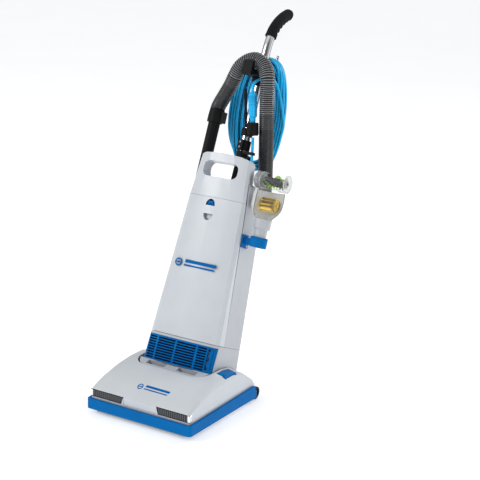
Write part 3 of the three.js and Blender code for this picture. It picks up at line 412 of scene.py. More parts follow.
def skin(rings, steps):
    """The faces of a closed body made of rings of points, with a flat face at each end."""
    faces = []
    for ring in range(rings - 1):
        for i in range(steps):
            a, b = ring * steps + i, ring * steps + (i + 1) % steps
            faces.append((a, b, b + steps, a + steps))
    faces.append(tuple(range(steps))[::-1])
    faces.append(tuple(range((rings - 1) * steps, rings * steps)))
    return faces


def grid(wide, tall, base=0):
    """The faces between tall rows of wide points each."""
    starts = [base + row * wide + i for row in range(tall - 1) for i in range(wide - 1)]
    return [(a, a + 1, a + wide + 1, a + wide) for a in starts]


def lathe(profile, steps=48, axis="z"):
    """Turns (radius, distance along the axis) pairs about the axis."""
    turns = [2 * math.pi * i / steps for i in range(steps)]
    verts = [ALONG[axis](r * math.cos(a), r * math.sin(a), t) for r, t in profile for a in turns]
    return verts, skin(len(profile), steps)


def prism(outline, low, high, axis="y"):
    """Extrudes a closed outline: (x, z) along y, (y, z) along x, or (x, y) along z."""
    n = len(outline)
    verts = [ALONG[axis](u, v, t) for t in (low, high) for u, v in outline]
    faces = [tuple(range(n)), tuple(range(2 * n - 1, n - 1, -1))]
    faces += [(i, i + n, (i + 1) % n + n, (i + 1) % n) for i in range(n)]
    return verts, faces


def band(outer, inner, low, high, face=lambda z: 0):
    """A closed band between two outlines of equal point count, from low to high behind a face."""
    n = len(outer)
    verts = [(x, face(z) + y, z) for y in (low, high) for ring in (outer, inner) for x, z in ring]
    faces = []
    for i in range(n):
        j = (i + 1) % n
        faces += [(i, j, j + n, i + n), (i + 2 * n, i + 3 * n, j + 3 * n, j + 2 * n)]
        faces += [(i, i + 2 * n, j + 2 * n, j), (i + n, j + n, j + 3 * n, i + 3 * n)]
    return verts, faces


def box(x, y, z):
    return prism([(x[0], z[0]), (x[1], z[0]), (x[1], z[1]), (x[0], z[1])], *y)


def merged(*shapes):
    verts, faces = [], []
    for v, f in shapes:
        base = len(verts)
        verts += v
        faces += [tuple(i + base for i in face) for face in f]
    return verts, faces


def moved(shape, x, y, z):
    verts, faces = shape
    return [(a + x, b + y, c + z) for a, b, c in verts], faces


def rounded(x, y, radius, steps=6):
    """A rectangle with round corners as (u, v) pairs."""
    outline = []
    corners = [(x[1], y[0], -90), (x[1], y[1], 0), (x[0], y[1], 90), (x[0], y[0], 180)]
    for cx, cy, start in corners:
        mx = cx - radius if cx == x[1] else cx + radius
        my = cy - radius if cy == y[1] else cy + radius
        for k in range(steps + 1):
            a = math.radians(start + 90 * k / steps)
            outline.append((mx + radius * math.cos(a), my + radius * math.sin(a)))
    return outline


def smooth_path(points, count):
    """Centripetal Catmull-Rom through the points, sampled at even steps along each span."""
    pts = [Vector(p) for p in points]
    pts = [2 * pts[0] - pts[1], *pts, 2 * pts[-1] - pts[-2]]
    spans = len(points) - 1
    made = []
    for k in range(count):
        t = k / (count - 1) * spans
        i = min(int(t), spans - 1)
        made.append(catmull(pts[i : i + 4], t - i))
    return made


def catmull(p, t):
    knots = [0]
    for a, b in zip(p, p[1:]):
        knots.append(knots[-1] + max((b - a).length ** 0.5, 1e-4))
    at = knots[1] + t * (knots[2] - knots[1])
    level = list(p)
    for order in range(1, 4):
        level = [
            (knots[i + order] - at) / (knots[i + order] - knots[i]) * level[i]
            + (at - knots[i]) / (knots[i + order] - knots[i]) * level[i + 1]
            for i in range(4 - order)
        ]
    return level[0]


def even_path(points, step):
    """The same line, resampled at even distances of about step, and its length."""
    fine = smooth_path(points, 60 * len(points))
    lengths = [0]
    for a, b in zip(fine, fine[1:]):
        lengths.append(lengths[-1] + (b - a).length)
    count = max(2, round(lengths[-1] / step))
    made, i = [], 0
    for k in range(count + 1):
        want = lengths[-1] * k / count
        while i < len(fine) - 2 and lengths[i + 1] < want:
            i += 1
        share = (want - lengths[i]) / max(lengths[i + 1] - lengths[i], 1e-9)
        made.append(fine[i].lerp(fine[i + 1], share))
    return made, lengths[-1]


def tube(path, radius, sides=24):
    """A closed tube. radius(k, angle) gives its radius at path point k; frames never twist."""
    verts = []
    side = Vector((1, 0, 0))
    for k, here in enumerate(path):
        ahead = (path[min(k + 1, len(path) - 1)] - path[max(k - 1, 0)]).normalized()
        side = (side - ahead * side.dot(ahead)).normalized()
        other = ahead.cross(side)
        for i in range(sides):
            a = 2 * math.pi * i / sides
            r = radius(k, a)
            verts.append(tuple(here + side * (r * math.cos(a)) + other * (r * math.sin(a))))
    return verts, skin(len(path), sides)


def cord_curve(name, points, where, diameter):
    """A round cord through the points, as one open curve."""
    data = bpy.data.curves.new(name, "CURVE")
    data.dimensions = "3D"
    data.bevel_depth = diameter / 2
    data.bevel_resolution = 5
    data.resolution_u = 6
    data.use_fill_caps = True
    line = data.splines.new("BEZIER")
    line.bezier_points.add(len(points) - 1)
    for spot, p in zip(line.bezier_points, points):
        spot.co = where @ Vector(p)
        spot.handle_left_type = spot.handle_right_type = "AUTO"
    item = bpy.data.objects.new(name, data)
    scene.collection.objects.link(item)
    data.materials.append(MATERIALS["cord"])
    return item


def eased(t):
    return t * t * (3 - 2 * t)


def between(table, value, column):
    """Reads a column of a table at value, which its first column runs over."""
    for a, b in zip(table, table[1:]):
        if value <= b[0]:
            return a[column] + (b[column] - a[column]) * (value - a[0]) / (b[0] - a[0])
    return table[-1][column]


# ---- cords and hose ----------------------------------------------------------------------------------
PIGTAIL = [
    (33.65, 25.95, 849.6), (35, 28, 838), (41, 27, 812), (49, 23, 782), (56.5, 19, 757), (60, 17, 738),
    (60, 17, 724.3),
]
CONNECTOR_TOP, CONNECTOR_FOOT = Vector((13, -5, 988)), Vector((33, 25, 854))
CONNECTOR_LENGTH = 138.8
# The lead above the connector on the upright's axes, and then in the coil's own plane.
LEAD = [
    (11.6, -7.4, 1003.5), (13.2, -6, 1012), (17.2, -1.5, 1021), (22.8, 5, 1028), (28.4, 13, 1033.5),
    (35, 23, 1038), (43, 37, 1039.5), (53, 51, 1032), (62.5, 61, 1015), (71, 68.5, 993),
]
INTO_COIL = [(90, -25.5, 34), (96, -20.5, 6)]
# From the innermost turn's foot, through the coil and up behind its left side into the plug.
TO_PLUG = [
    (-24, -4, -146), (-40, 8, -133), (-55, 20, -114), (-70, 28, -92), (-83, 32, -70), (-92, 34.2, -50),
    (-96, 34.6, -34), (-96, 34.6, -20.4),
]
# Half the width and half the height of the line through the innermost and the outermost turn.
COIL_INNER, COIL_OUTER = (62.4, 154.4), (99.1, 175.6)
COIL_FRONT, COIL_DEPTH = -14.6, 29.2
COIL_SQUARENESS = 2.15
COIL_AT, COIL_TILT = Vector((-11, 461, 824)), math.radians(11.4)
COIL_TURNS, TURN_POINTS = 12, 28
COIL_START = 0.35
# Points left out where the coil meets the lead, and where it meets the way to the plug.
SKIPPED_FIRST, SKIPPED_LAST = 2, 20
# The share of a turn after which it crosses over to the next turn's place.
CROSSING = 0.86
# Each turn's place in the coil's cross-section, innermost first, as steps across and steps deep: at the
# coil's sides, which are 4 steps across and 2 deep, and at its ends, which are 2 across and 3 deep.
AT_SIDES = [(0, 0), (0, 1), (0, 2), (1, 2), (2, 2), (2, 1), (1, 1), (1, 0), (2, 0), (3, 0), (3, 1), (4, 0)]
AT_ENDS = [(0, 0), (0, 1), (0, 2), (0, 3), (1, 3), (1, 2), (1, 1), (1, 0), (2, 0), (2, 1), (2, 2), (2, 3)]


def coil_point(angle, across, deep):
    """A point of the coil: across runs outwards through the bundle, deep runs from front to back."""
    power = 2 / COIL_SQUARENESS
    c, s = math.cos(angle), math.sin(angle)
    a, b = (inner + across * (outer - inner) for inner, outer in zip(COIL_INNER, COIL_OUTER))
    x = a * math.copysign(abs(c) ** power, c)
    z = b * math.copysign(abs(s) ** power, s)
    return x, COIL_FRONT + deep * COIL_DEPTH, z


def in_coil(x, y, z):
    """From the coil's own plane to the floor head's axes."""
    c, s = math.cos(COIL_TILT), math.sin(COIL_TILT)
    return COIL_AT + Vector((x, y * c + z * s, -y * s + z * c))


def turn_place(turn, at_end):
    """How far across and deep a turn lies, where at_end is 0 at the coil's sides and 1 at its ends."""
    index = max(0, COIL_TURNS - 1 - turn)
    (side_across, side_deep), (end_across, end_deep) = AT_SIDES[index], AT_ENDS[index]
    across = (1 - at_end) * side_across / 4 + at_end * end_across / 2
    deep = (1 - at_end) * side_deep / 2 + at_end * end_deep / 3
    return across, deep


def coil_path():
    """The whole wound lead: from the connector over the tube, eleven turns inwards, and into the plug."""
    above = [CONNECTOR_TOP.lerp(CONNECTOR_FOOT, -d / CONNECTOR_LENGTH) for d in (0.4, 8)]
    from_body = TO_BODY.inverted()
    points = [from_body @ Vector(p) for p in above + LEAD]
    points += [in_coil(*p) for p in INTO_COIL]
    for k in range(SKIPPED_FIRST, COIL_TURNS * TURN_POINTS - SKIPPED_LAST):
        turns = k / TURN_POINTS
        angle = COIL_START - 2 * math.pi * turns
        turn = min(int(turns), COIL_TURNS - 1)
        crossed = max(0, (turns - turn - CROSSING) / (1 - CROSSING)) if turn < COIL_TURNS - 1 else 0
        crossed = eased(crossed)
        at_end = eased(math.sin(angle) ** 2)
        here, after = turn_place(turn, at_end), turn_place(turn + 1, at_end)
        across, deep = (a * (1 - crossed) + b * crossed for a, b in zip(here, after))
        points.append(in_coil(*coil_point(angle, across, deep)))
    return points + [in_coil(*p) for p in TO_PLUG]


pigtail_points = smooth_path(PIGTAIL, 22)
pigtail = cord_curve("cord_short_lead", pigtail_points[::-1], ON_BODY, CORD_D * MM)
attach(pigtail, "upright")
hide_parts("cord_pigtail")
lead_points = coil_path()
lead = cord_curve("cord_main_lead", lead_points, ON_HEAD, CORD_D * MM)
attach(lead, "upright")
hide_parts("cord_lead", "cord_coil")

# From the cuff on the wand over its hook and down to the port low on the body's back.
HOSE_ROUTE = [
    (WAND_X, WAND_P, 922.3), (WAND_X, WAND_P, 929), (-122, 45, 943), (-108, 36, 963), (-81, 18, 1003),
    (-66, 5, 1030), (-52, -3, 1055), (-30, -7, 1074), (-2, -9, 1084), (26, -10, 1076), (46, -10, 1055),
    body_point(57.5, 386, 955), body_point(60.5, 382, 925), body_point(62, 380, 890),
    body_point(64, 380, 780), body_point(65, 380, 668), body_point(63, 381, 600),
    (57, 134, 640), (48, 137, 560), (38, 135, 480), (30, 129, 400),
    (PORT[0], PORT[1], 360), (PORT[0], PORT[1], 346.3),
]
HOSE_SIDES = 36
RIB_PITCH, RIB_STEPS = 6.2, 6
RIB_WAVE = [0.0, 0.55, 1.0, 1.0, 0.55, 0.0]
RIB_CROWN = (1, 2, 3)
# How deep the ribs are where they are faint, and how much deeper where they are fully shown.
RIB_FAINT, RIB_SHOWN = 0.7, 1.7
# How strongly the ribs stand out where their crests get a painted highlight and their grooves painted shade,
# and where the crests get only a faint painted highlight.
HIGHLIGHT_AND_SHADE_FROM, FAINT_HIGHLIGHT_FROM = 0.45, 0.05
# The heights between which the ribs fade, on the leg to the port and on the leg to the wand.
FADE_TO_PORT, FADE_TO_WAND = (880, 990), (1000, 1060)


def build_hose():
    path, length = even_path(HOSE_ROUTE[::-1], RIB_PITCH / RIB_STEPS)
    crest = max(range(len(path)), key=lambda k: path[k].z)

    def shown(k):
        """How strongly the ribs stand out, in depth and in painted highlight: fully on the bend and just
        below it, faintly lower down.
        """
        low, high = FADE_TO_WAND if k > crest else FADE_TO_PORT
        return min(1, max(0, (path[k].z - low) / (high - low)))

    def radius(k, _):
        return HOSE_D / 2 - (RIB_FAINT + RIB_SHOWN * shown(k)) * (1 - RIB_WAVE[k % RIB_STEPS])

    made = piece("suction_hose", *tube(path, radius, HOSE_SIDES), ON_BODY, "hose", None, angle=80)
    for finish in ("hose_painted_highlight", "hose_painted_shade", "hose_faint_painted_highlight"):
        made.data.materials.append(MATERIALS[finish])
    for face in made.data.polygons:
        ring = face.index // HOSE_SIDES
        if ring >= len(path) - 1:
            continue
        crown = ring % RIB_STEPS in RIB_CROWN
        # Crests get the painted highlight and grooves the painted shade; lower down the crests get only a
        # faint painted highlight.
        if shown(ring) > HIGHLIGHT_AND_SHADE_FROM:
            face.material_index = 1 if crown else 2
        elif shown(ring) > FAINT_HIGHLIGHT_FROM and crown:
            face.material_index = 3
    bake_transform(made)
    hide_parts("hose")


build_hose()

# ---- CAD pieces that stay: softened edges, smooth shading and a finish -------------------------------
SOFT_EDGE = {
    "hood": 1.6, "bumper": 1.4, "upper_housing": 1.4, "bag_door": 1.0, "rear_housing": 1.2,
    "motor_housing": 1.2, "exhaust_grille": 0.35, "release_pedal": 1.6, "tool_cover": 0.3,
    "grille_latch": 0.5, "power_switch": 0.8, "door_latch": 0.4,
}
USUAL_EDGE = 0.5
WELD_WITHIN = 0.00002
FINISH = {"tool_shell": "shell", "pivot_pin_left": "rubber", "pivot_pin_right": "rubber"}
slot_of = {s["node"]: s["material_slot"] for s in frame["record"]["subparts"]}
for node, item in frame["nodes"].items():
    if item.hide_render:
        continue
    item.data.materials.clear()
    item.data.materials.append(MATERIALS[FINISH.get(node, slot_of[node])])
    weld = item.modifiers.new("weld", "WELD")
    weld.merge_threshold = WELD_WITHIN
    if node != "handle_tube":
        soften(item, SOFT_EDGE.get(node, USUAL_EDGE))
    shade(item, SHARP_OVER)

# ---- handle: bent tube, and a foam grip with finger grooves ------------------------------------------
HANDLE_ROUTE = [
    (0, 42, 644), (0, 42, 1085), (0, 42, 1110), (0, 44.5, 1150), (0, 56, 1196), (0, 80, 1231.5),
    (0, 104, 1253.6), (0, 121, 1265.41),
]
TUBE_TOP, GRIP_FOOT = 1200, 1171.5
GRIP_STEP, GRIP_EXTRA = 1.25, 15
GRIP_R, GRIP_CAP = 18.2, 17.5
GROOVE_DEPTH, GROOVE_PITCH = 4.2, 21.5


def build_handle():
    path, _ = even_path(HANDLE_ROUTE, 4)
    tube_path = [p for p in path if p.z < TUBE_TOP]
    tube_mesh = tube(tube_path, lambda k, a: TUBE_R, 48)
    made = piece("handle_bent_tube", *tube_mesh, ON_BODY, "chrome", "upright", angle=60)
    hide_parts("handle_tube")

    fine, _ = even_path(HANDLE_ROUTE, GRIP_STEP)
    onward = (fine[-1] - fine[-2]).normalized()
    fine += [fine[-1] + onward * (GRIP_STEP * k) for k in range(1, GRIP_EXTRA)]
    grip_path = [p for p in fine if p.z > GRIP_FOOT]
    last = len(grip_path) - 1
    step = (grip_path[1] - grip_path[0]).length

    def radius(k, angle):
        """Round, with grooves for the fingers underneath, a lip at the foot and a domed end."""
        run, left = k * step, (last - k) * step
        under = max(0.0, math.sin(angle + 0.35)) ** 0.8
        wave = 0.5 - 0.5 * math.cos(2 * math.pi * run / GROOVE_PITCH)
        held = GROOVE_DEPTH * under * (1 - wave) * min(1, run / 8) * min(1, left / 26)
        cap = math.sqrt(max(0.0, 1 - (1 - min(1, (left + 0.3) / GRIP_CAP)) ** 2))
        lip = 0.8 * math.exp(-((run - 3) / 2.5) ** 2)
        return (GRIP_R - held + lip) * cap

    made = piece("foam_grip", *tube(grip_path, radius, 48), ON_BODY, "foam", "upright", angle=60)
    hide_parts("handle_grip")


build_handle()

# ---- generic blue marks in place of printed ones -----------------------------------------------------
# The hood's middle line as (y, z, how much its crown adds), and how much of that crown is left at each x.
HOOD_LINE = [
    (-190.5, 80, 0), (-165, 96, 4), (-134, 109, 8), (-100, 117, 10), (-64, 124, 10), (-6, 130, 10),
    (45, 130, 9),
]
HOOD_CROWN = [(0, 1), (64.2, 0.88), (120.2, 0.55), (158.2, 0)]
PRINT_LIFT = 0.25
HEAD_MARK, HEAD_MARK_SIZE = (-24, -152), 0.72
DOOR_MARK, DOOR_MARK_SIZE = (-66, 426), 0.96


def hood_top(x, y):
    return between(HOOD_LINE, y, 1) + between(HOOD_LINE, y, 2) * between(HOOD_CROWN, abs(x), 1)


def ring_cells(radius, hole, rows=5, steps=28):
    """A flat ring as rows of cells, in its own (u, v)."""
    cells = []
    for r in range(rows):
        inner = hole + (radius - hole) * r / rows
        outer = hole + (radius - hole) * (r + 1) / rows
        for i in range(steps):
            a, b = 2 * math.pi * i / steps, 2 * math.pi * (i + 1) / steps
            corners = ((inner, a), (outer, a), (outer, b), (inner, b))
            cells.append([(t * math.cos(w), t * math.sin(w)) for t, w in corners])
    return cells


def bar_cells(u0, u1, v0, v1, slant=0.18, steps=14):
    cells = []
    for i in range(steps):
        a = u0 + (u1 - u0) * i / steps
        b = u0 + (u1 - u0) * (i + 1) / steps
        ends = ((a, v0), (b, v0), (b, v1), (a, v1))
        cells.append([(u + slant * v, v) for u, v in ends])
    return cells


def mark(name, place, body, where, size):
    """A ring with a slanted bar across it, and two plain bars beside it, printed on a surface."""
    cells = ring_cells(13, 8.5) + bar_cells(-9, 9, -2.2, 2.2, 0.5, 6)
    cells += bar_cells(22, 138, 2.5, 12.5) + bar_cells(22, 136, -8.5, -3.5)
    verts, faces = [], []
    for cell in cells:
        faces.append(tuple(range(len(verts), len(verts) + 4)))
        verts += [place(u * size, v * size) for u, v in cell]
    piece(name, verts, faces, where, "blue", body, angle=60)


def on_hood(u, v):
    x, y = HEAD_MARK[0] + u, HEAD_MARK[1] + v
    return x, y, hood_top(x, y) + PRINT_LIFT


def on_door(u, v):
    return DOOR_MARK[0] + u, FRONT - PRINT_LIFT, DOOR_MARK[1] + v


mark("head_mark", on_hood, "base", ON_HEAD, HEAD_MARK_SIZE)
mark("door_mark", on_door, "door", ON_BODY, DOOR_MARK_SIZE)


# ---- front of the floor head: window frames and bright corner caps -----------------------------------
def window_outline(side, grow):
    outline = [(66 - grow, 55 - grow), (175.6, 55 - grow), (175.6, 77 + grow), (60 - grow, 77 + grow)]
    return [(side * x, z) for x, z in outline]


CORNER_CAP = [(168.6, 55.6), (176.9, 55.6), (176.9, 76.4), (168.6, 76.4)]
for side, name in ((-1, "left"), (1, "right")):
    edging = band(window_outline(side, 0.4), window_outline(side, -1.5), -191.3, -189.0)
    piece("window_frame_" + name, *edging, ON_HEAD, "black", "base", bevel=0.3)
    cap = prism([(side * x, z) for x, z in CORNER_CAP], -191.6, -176)
    piece("corner_cap_" + name, *cap, ON_HEAD, "chrome", "base", bevel=1.6, segments=3)

# ---- louvres behind the exhaust grille ---------------------------------------------------------------
GRILLE_LOW, GRILLE_HIGH, GRILLE_PITCH = 119.6, 197.4, 7.9
LOUVRE_LEFT, LOUVRE_WIDTH, LOUVRE_COLUMNS = -116, 214, 28
LOUVRE_THICK = 0.0008


def half_width(z):
    if z > 640:
        return 101 - (z - 640) * 0.105
    return 101 + (640 - max(z, 140)) * 0.0522


def front_bow(x, z):
    """How far the body's front lies behind its foremost line, at x."""
    w = half_width(z)
    return between([(0, 0), (0.5 * w, 3), (0.78 * w, 10), (0.93 * w, 19), (w, 31)], abs(x), 1)


def build_louvres():
    across = [LOUVRE_LEFT + LOUVRE_WIDTH * i / LOUVRE_COLUMNS for i in range(LOUVRE_COLUMNS + 1)]
    lines = []
    z = GRILLE_LOW + 3
    while z < GRILLE_HIGH - 3:
        lines += [(z, 5.0), (z + 0.8, 9.5), (z + GRILLE_PITCH - 0.8, 5.6)]
        z += GRILLE_PITCH
    verts = [(x, FRONT + depth + front_bow(x, z), z) for z, depth in lines for x in across]
    faces = grid(len(across), len(lines))
    made = piece("grille_louvres", verts, faces, ON_BODY, "navy", "grille", angle=25)
    thick = made.modifiers.new("thickness", "SOLIDIFY")
    thick.thickness = LOUVRE_THICK


build_louvres()

# ---- dust bag: a filled cloth bag with a flat welded seam round it -----------------------------------
BAG = {"half": 82, "low": 266, "high": 610, "corner": 22, "middle": 5, "deep": 28.4, "seam": 5}
# The room left for folds and sag, and how far in from the seam the bag is at its thickest.
BAG_CREASES, BAG_FILLS_WITHIN = 3.4, 48


def bag_point(u, v, side):
    """u and v run from -1 to 1 across and up the bag. side is -1 at its front and 1 at its back."""
    tall = (BAG["high"] - BAG["low"]) / 2
    z = tall * v
    past = max(0, abs(z) - (tall - BAG["corner"]))
    wide = BAG["half"] - BAG["corner"] + math.sqrt(max(0, BAG["corner"] ** 2 - past ** 2))
    x = wide * u
    inside = max(0, min(wide - abs(x), tall - abs(z)) - BAG["seam"])
    filled = min(1, inside / BAG_FILLS_WITHIN)
    crown = math.sqrt(1 - (1 - filled) ** 2)
    creases = math.exp(-inside / 26) * min(1, inside / 6)
    folds = 1.5 * creases * (math.sin(0.19 * z + side) + math.sin(0.27 * x + 2 * side))
    sag = 1.2 * filled * math.sin(0.021 * z + 0.7) * math.cos(0.016 * x)
    thick = max(0.5, (BAG["deep"] - BAG_CREASES) * crown + folds + sag)
    return x, BAG["middle"] + side * thick, z + (BAG["high"] + BAG["low"]) / 2


def build_bag():
    columns, rows = 44, 84
    across, up = ([math.sin(math.pi * (k / n - 0.5)) for k in range(n + 1)] for n in (columns, rows))
    verts = [bag_point(u, v, side) for side in (-1, 1) for v in up for u in across]
    wide, half = columns + 1, (columns + 1) * (rows + 1)
    faces = grid(wide, rows + 1) + grid(wide, rows + 1, half)
    right_side = [j * wide + columns for j in range(1, rows + 1)]
    top = [rows * wide + i for i in range(columns - 1, -1, -1)]
    left_side = [j * wide for j in range(rows - 1, 0, -1)]
    border = [*range(wide), *right_side, *top, *left_side]
    faces += [(a, b, b + half, a + half) for a, b in zip(border, border[1:] + border[:1])]
    made = piece("dust_bag_cloth", verts, faces, ON_BODY, "bag", "upright", angle=50)
    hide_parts("dust_bag")


build_bag()

# ---- turbo tool: bristles, turbine and end pieces ----------------------------------------------------
HEAD_Q, TURBINE_Q = 721, 651
ROLLER_FROM, TUFT_PITCH, TUFTS_IN_ROW, TUFT_ROWS, DARK_ROW = 138, 6.3, 11, 4, 1
TUFT_TWIST = 0.045
TUFT_BASE, TUFT_TIP, TUFT_HAIRS, TUFT_SPREAD = 12.5, 22.4, 14, 1.7
BLADES, BLADE_FOOT, BLADE_REACH, BLADE_CURVE, BLADE_THICK = 9, 5, 16.6, 0.5, 1.3


def tuft(x, angle, base, tip, count, spread):
    """A cluster of thin tapered bristles standing out from a roller, about x."""
    shapes = []
    for _ in range(count):
        dx, da = random.uniform(-spread, spread), random.uniform(-0.09, 0.09)
        lean_x, reach = random.uniform(-0.8, 0.8), tip - random.uniform(0, 1.2)
        verts = []
        for radius, wide in ((base, 0.42), (reach, 0.26)):
            share = (radius - base) / (tip - base)
            for k in range(3):
                a = 2 * math.pi * k / 3
                u = x + dx + lean_x * share + wide * math.cos(a)
                turn = angle + da * (1 + share) + wide * math.sin(a) / radius
                verts.append((u, radius * math.cos(turn), radius * math.sin(turn)))
        faces = [(0, 1, 4, 3), (1, 2, 5, 4), (2, 0, 3, 5), (3, 4, 5)]
        shapes.append((verts, faces))
    return merged(*shapes)


def in_tool_head(shape):
    return moved(shape, 0, TOOL_P, HEAD_Q)


def build_tool_brush():
    rows = {"lime": [], "bristle": []}
    for row in range(TUFT_ROWS):
        for i in range(TUFTS_IN_ROW):
            x = ROLLER_FROM + i * TUFT_PITCH
            angle = row * math.pi / 2 + TUFT_TWIST * (x - ROLLER_FROM)
            slot = "bristle" if row == DARK_ROW else "lime"
            rows[slot].append(tuft(x, angle, TUFT_BASE, TUFT_TIP, TUFT_HAIRS, TUFT_SPREAD))
    for slot, shapes in rows.items():
        tufts = in_tool_head(merged(*shapes))
        made = piece("tool_tufts_" + slot, *tufts, ON_BODY, slot, "turbo_brush", angle=50)
        if slot == "lime":
            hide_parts("tool_bristles")


def build_turbine():
    """A wheel of curved blades between two discs on a hub."""
    shapes = []
    for at in (138, 187):
        disc = [(0.1, at), (21.4, at), (22, at + 0.6), (22, at + 2.4), (21.4, at + 3), (0.1, at + 3)]
        shapes.append(lathe(disc, 40, "x"))
    shapes.append(lathe([(0.1, 134), (5.2, 134), (6, 135), (6, 193), (5.2, 194), (0.1, 194)], 32, "x"))
    for blade in range(BLADES):
        start = 2 * math.pi * blade / BLADES
        line = [(BLADE_FOOT + BLADE_REACH * k / 6, start + BLADE_CURVE * (k / 6) ** 1.6) for k in range(7)]
        front = [(r * math.cos(a), r * math.sin(a)) for r, a in line]
        line = [(r, a + BLADE_THICK / r) for r, a in reversed(line)]
        back = [(r * math.cos(a), r * math.sin(a)) for r, a in line]
        shapes.append(prism(front + back, 140.8, 187.2, "x"))
    wheel = moved(merged(*shapes), 0, TOOL_P, TURBINE_Q)
    made = piece("turbine_wheel", *wheel, ON_BODY, "yellow", "turbine", angle=30)
    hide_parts("tool_turbine")


build_tool_brush()
build_turbine()
belt_cover = lathe([(0.1, 103), (20, 103), (24.4, 107), (24.4, 117), (23.4, 119), (0.1, 119)], 40, "x")
piece("tool_belt_cover", *in_tool_head(belt_cover), ON_BODY, "housing", "turbo_tool")
seal = lathe([(19.5, 119.4), (24.6, 119.4), (24.6, 124.2), (19.5, 124.2), (19.5, 119.4)], 40, "x")
piece("tool_seal_ring", *in_tool_head(seal), ON_BODY, "housing_grey", "turbo_tool")

# ---- turbo tool: thick rims where the clear cover ends, and beads where it meets the shell -----------
# The bulb as (height, half its width, half its depth).
BULB = [(604.5, 25, 25), (612, 30, 27), (625, 43, 31), (643, 51.5, 33), (675, 52.5, 33), (690, 50.6, 30.6)]
WINDOW_SIDE = 27
BEAD_R = 0.85
COVER_R, RIM_THICK = 27.4, 1.4


def rim(at, wide):
    inner, end = COVER_R - RIM_THICK, at + wide
    return lathe([(inner, at), (COVER_R, at), (COVER_R, end), (inner, end), (inner, at)], 56, "x")


def cover_seams():
    """Dark beads where the clear half of the bulb meets the grey shell: at its left side and right edge."""
    across = [(TOOL_X + rx + 0.2, TOOL_P - 1, z) for z, rx, ry in BULB]
    front = [
        (TOOL_X - WINDOW_SIDE, TOOL_P - ry * math.sqrt(1 - (WINDOW_SIDE / rx) ** 2) - 0.2, z)
        for z, rx, ry in BULB if rx > WINDOW_SIDE
    ]
    return merged(*(tube(even_path(line, 2)[0], lambda k, a: BEAD_R, 10) for line in (across, front)))


rims = in_tool_head(merged(rim(208.6, 2.6), rim(125.6, 1.8)))
piece("tool_cover_rims", *rims, ON_BODY, "rim", "turbo_tool", bevel=0.3)
piece("tool_cover_seams", *cover_seams(), ON_BODY, "lens", "turbo_tool", angle=60)

# ---- tool clip: teeth round its mouth, and two rivets in its pad -------------------------------------
CLIP_TEETH = 26
RIVET = [(0.1, -0.4), (3.2, -0.4), (3.2, 0.4), (2.2, 1.3), (0.1, 1.6)]


def clip_teeth():
    shapes = []
    for k in range(CLIP_TEETH):
        a = 2 * math.pi * k / CLIP_TEETH
        c, s = math.cos(a), math.sin(a)
        verts, faces = box((23.2, 26.4), (-1.5, 1.5), (544.6, 549.6))
        shapes.append(([(TOOL_X + x * c - y * s, TOOL_P + x * s + y * c, z) for x, y, z in verts], faces))
    return merged(*shapes)


piece("tool_clip_teeth", *clip_teeth(), ON_BODY, "blue", "upright", bevel=0.5)
for level, name in ((516, "low"), (543, "high")):
    dome = moved(lathe(RIVET, 24, "x"), half_width(level) + 5, 2.5, level)
    piece("tool_clip_rivet_" + name, *dome, ON_BODY, "steel", "upright")

# ---- connector: a bright collar, and ribs round its bending neck -------------------------------------
NECK_RIBS, NECK_TOP, NECK_PITCH = 5, -17, 4.6
COLLAR = [(12.5, -46.6), (14.4, -46.2), (14.4, -42.6), (12.5, -42.2), (12.5, -46.6)]
connector_line = (CONNECTOR_FOOT - CONNECTOR_TOP).normalized()
connector_turn = Vector((0, 0, -1)).rotation_difference(connector_line).to_matrix().to_4x4()
ON_CONNECTOR = ON_BODY @ Matrix.Translation(CONNECTOR_TOP) @ connector_turn


def neck_rib(z):
    return lathe([(12.6, z - 1.1), (14.3, z - 0.6), (14.3, z + 0.6), (12.6, z + 1.1), (12.6, z - 1.1)], 40)


piece("connector_ring", *lathe(COLLAR, 40), ON_CONNECTOR, "cord", "upright", bevel=0.3)
neck = merged(*(neck_rib(NECK_TOP - k * NECK_PITCH) for k in range(NECK_RIBS)))
piece("connector_ribs", *neck, ON_CONNECTOR, "cord", "upright")

# ---- back of the body: cooling louvres in a raised frame ---------------------------------------------
REAR_LOUVRES, REAR_LOUVRE_FOOT, REAR_LOUVRE_PITCH = 9, 196, 9.5
REAR_FRAME_X, REAR_FRAME_Z, REAR_FRAME_WIDE = (-102, -12), (189, 286), 2.4


def rear_face(z):
    return 89 + (518 - z) * 0.053


def rear_louvre(low):
    back = rear_face(low)
    outline = [(back - 1, low), (back + 0.2, low), (back + 2.6, low + 3.8), (back + 2.0, low + 4.8),
               (back - 1, low + 4.8)]
    return prism(outline, -96, -18, "x")


def inset(span, by):
    return span[0] + by, span[1] - by


louvres = merged(*(rear_louvre(REAR_LOUVRE_FOOT + REAR_LOUVRE_PITCH * k) for k in range(REAR_LOUVRES)))
piece("rear_louvres", *louvres, ON_BODY, "housing_grey", "upright", bevel=0.4)
outer = rounded(REAR_FRAME_X, REAR_FRAME_Z, 7)
inner = rounded(inset(REAR_FRAME_X, REAR_FRAME_WIDE), inset(REAR_FRAME_Z, REAR_FRAME_WIDE), 5)
edging = band(outer, inner, -0.8, 1.5, rear_face)
piece("rear_louvre_frame", *edging, ON_BODY, "housing_grey", "upright", bevel=0.4)

# ---- screws ------------------------------------------------------------------------------------------
SCREW_R = 3.2
BOSS = [(0.1, -1), (6.4, -1), (6.4, 1), (5.2, 1.8), (3.9, 1.8), (3.7, 0.6), (0.1, 0.6)]
REAR_HEAD = [(0.1, 0.5), (3.3, 0.5), (3.3, 1.0), (2.4, 1.7), (0.1, 1.8)]


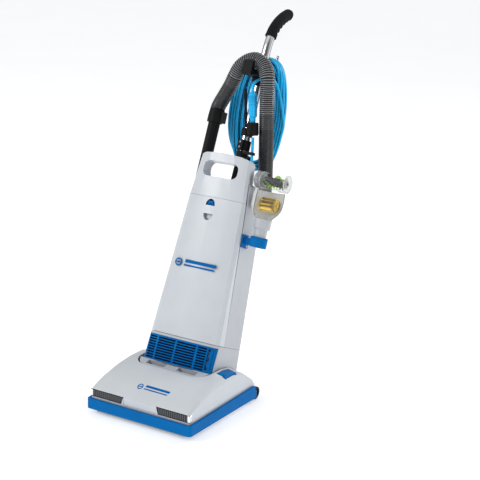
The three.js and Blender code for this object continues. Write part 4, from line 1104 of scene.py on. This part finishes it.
def clamp_screw(name, x, z, face):
    """A cross-recess pan head on a face that looks towards -y."""
    arm = SCREW_R * 0.55
    profile = [(0.1, -1.5), (SCREW_R * 0.6, -1.4), (SCREW_R * 0.92, -0.8), (SCREW_R, 0), (SCREW_R, 0.6),
               (0.1, 0.6)]
    # The recess is a black cross set into the head: painted shade where the real recess lies in shadow.
    cross = merged(box((-arm, arm), (-1.56, -1.2), (-0.4, 0.4)), box((-0.4, 0.4), (-1.56, -1.2), (-arm, arm)))
    piece(name, *moved(lathe(profile, 24, "y"), x, face, z), ON_BODY, "chrome", "upright")
    piece(name + "_painted_shade_recess", *moved(cross, x, face, z), ON_BODY, "black", "upright")


def rear_screw(name, x, z):
    """A screw in a round boss on the back of the body."""
    for profile, steps, end, slot in ((BOSS, 32, "_boss", "housing_grey"), (REAR_HEAD, 24, "", "steel")):
        turned = moved(lathe(profile, steps, "y"), x, rear_face(z), z)
        piece(name + end, *turned, ON_BODY, slot, "upright")


for side, label in ((-1, "left"), (1, "right")):
    for level, height in ((300, "low"), (452, "middle"), (604, "high")):
        rear_screw(f"rear_screw_{label}_{height}", side * (half_width(level) - 24), level)
clamp_screw("clamp_screw_low", 0, 814, 15)
clamp_screw("clamp_screw_high", 0, 830, 15)

# ---- floor -------------------------------------------------------------------------------------------
FLOOR_HALF = 40
FLOOR_GLOW = 0.34


def build_floor():
    """A plain pale floor, with a slight glow of its own so that it stays white."""
    h = FLOOR_HALF
    mesh = bpy.data.meshes.new("floor")
    mesh.from_pydata([(-h, -h, 0), (h, -h, 0), (h, h, 0), (-h, h, 0)], [], [(0, 1, 2, 3)])
    ground = bpy.data.objects.new("floor", mesh)
    scene.collection.objects.link(ground)
    made, tree, surface = shader("floor", Specular_IOR_Level=0.2)
    tint = ramp(tree, noise(tree, 3), (0.93, 0.935, 0.94), (0.95, 0.955, 0.96))
    tree.links.new(tint, surface.inputs["Base Color"])
    surface.inputs["Roughness"].default_value = 0.6
    surface.inputs["Emission Color"].default_value = (1, 1, 1, 1)
    surface.inputs["Emission Strength"].default_value = FLOOR_GLOW
    mesh.materials.append(made)


build_floor()
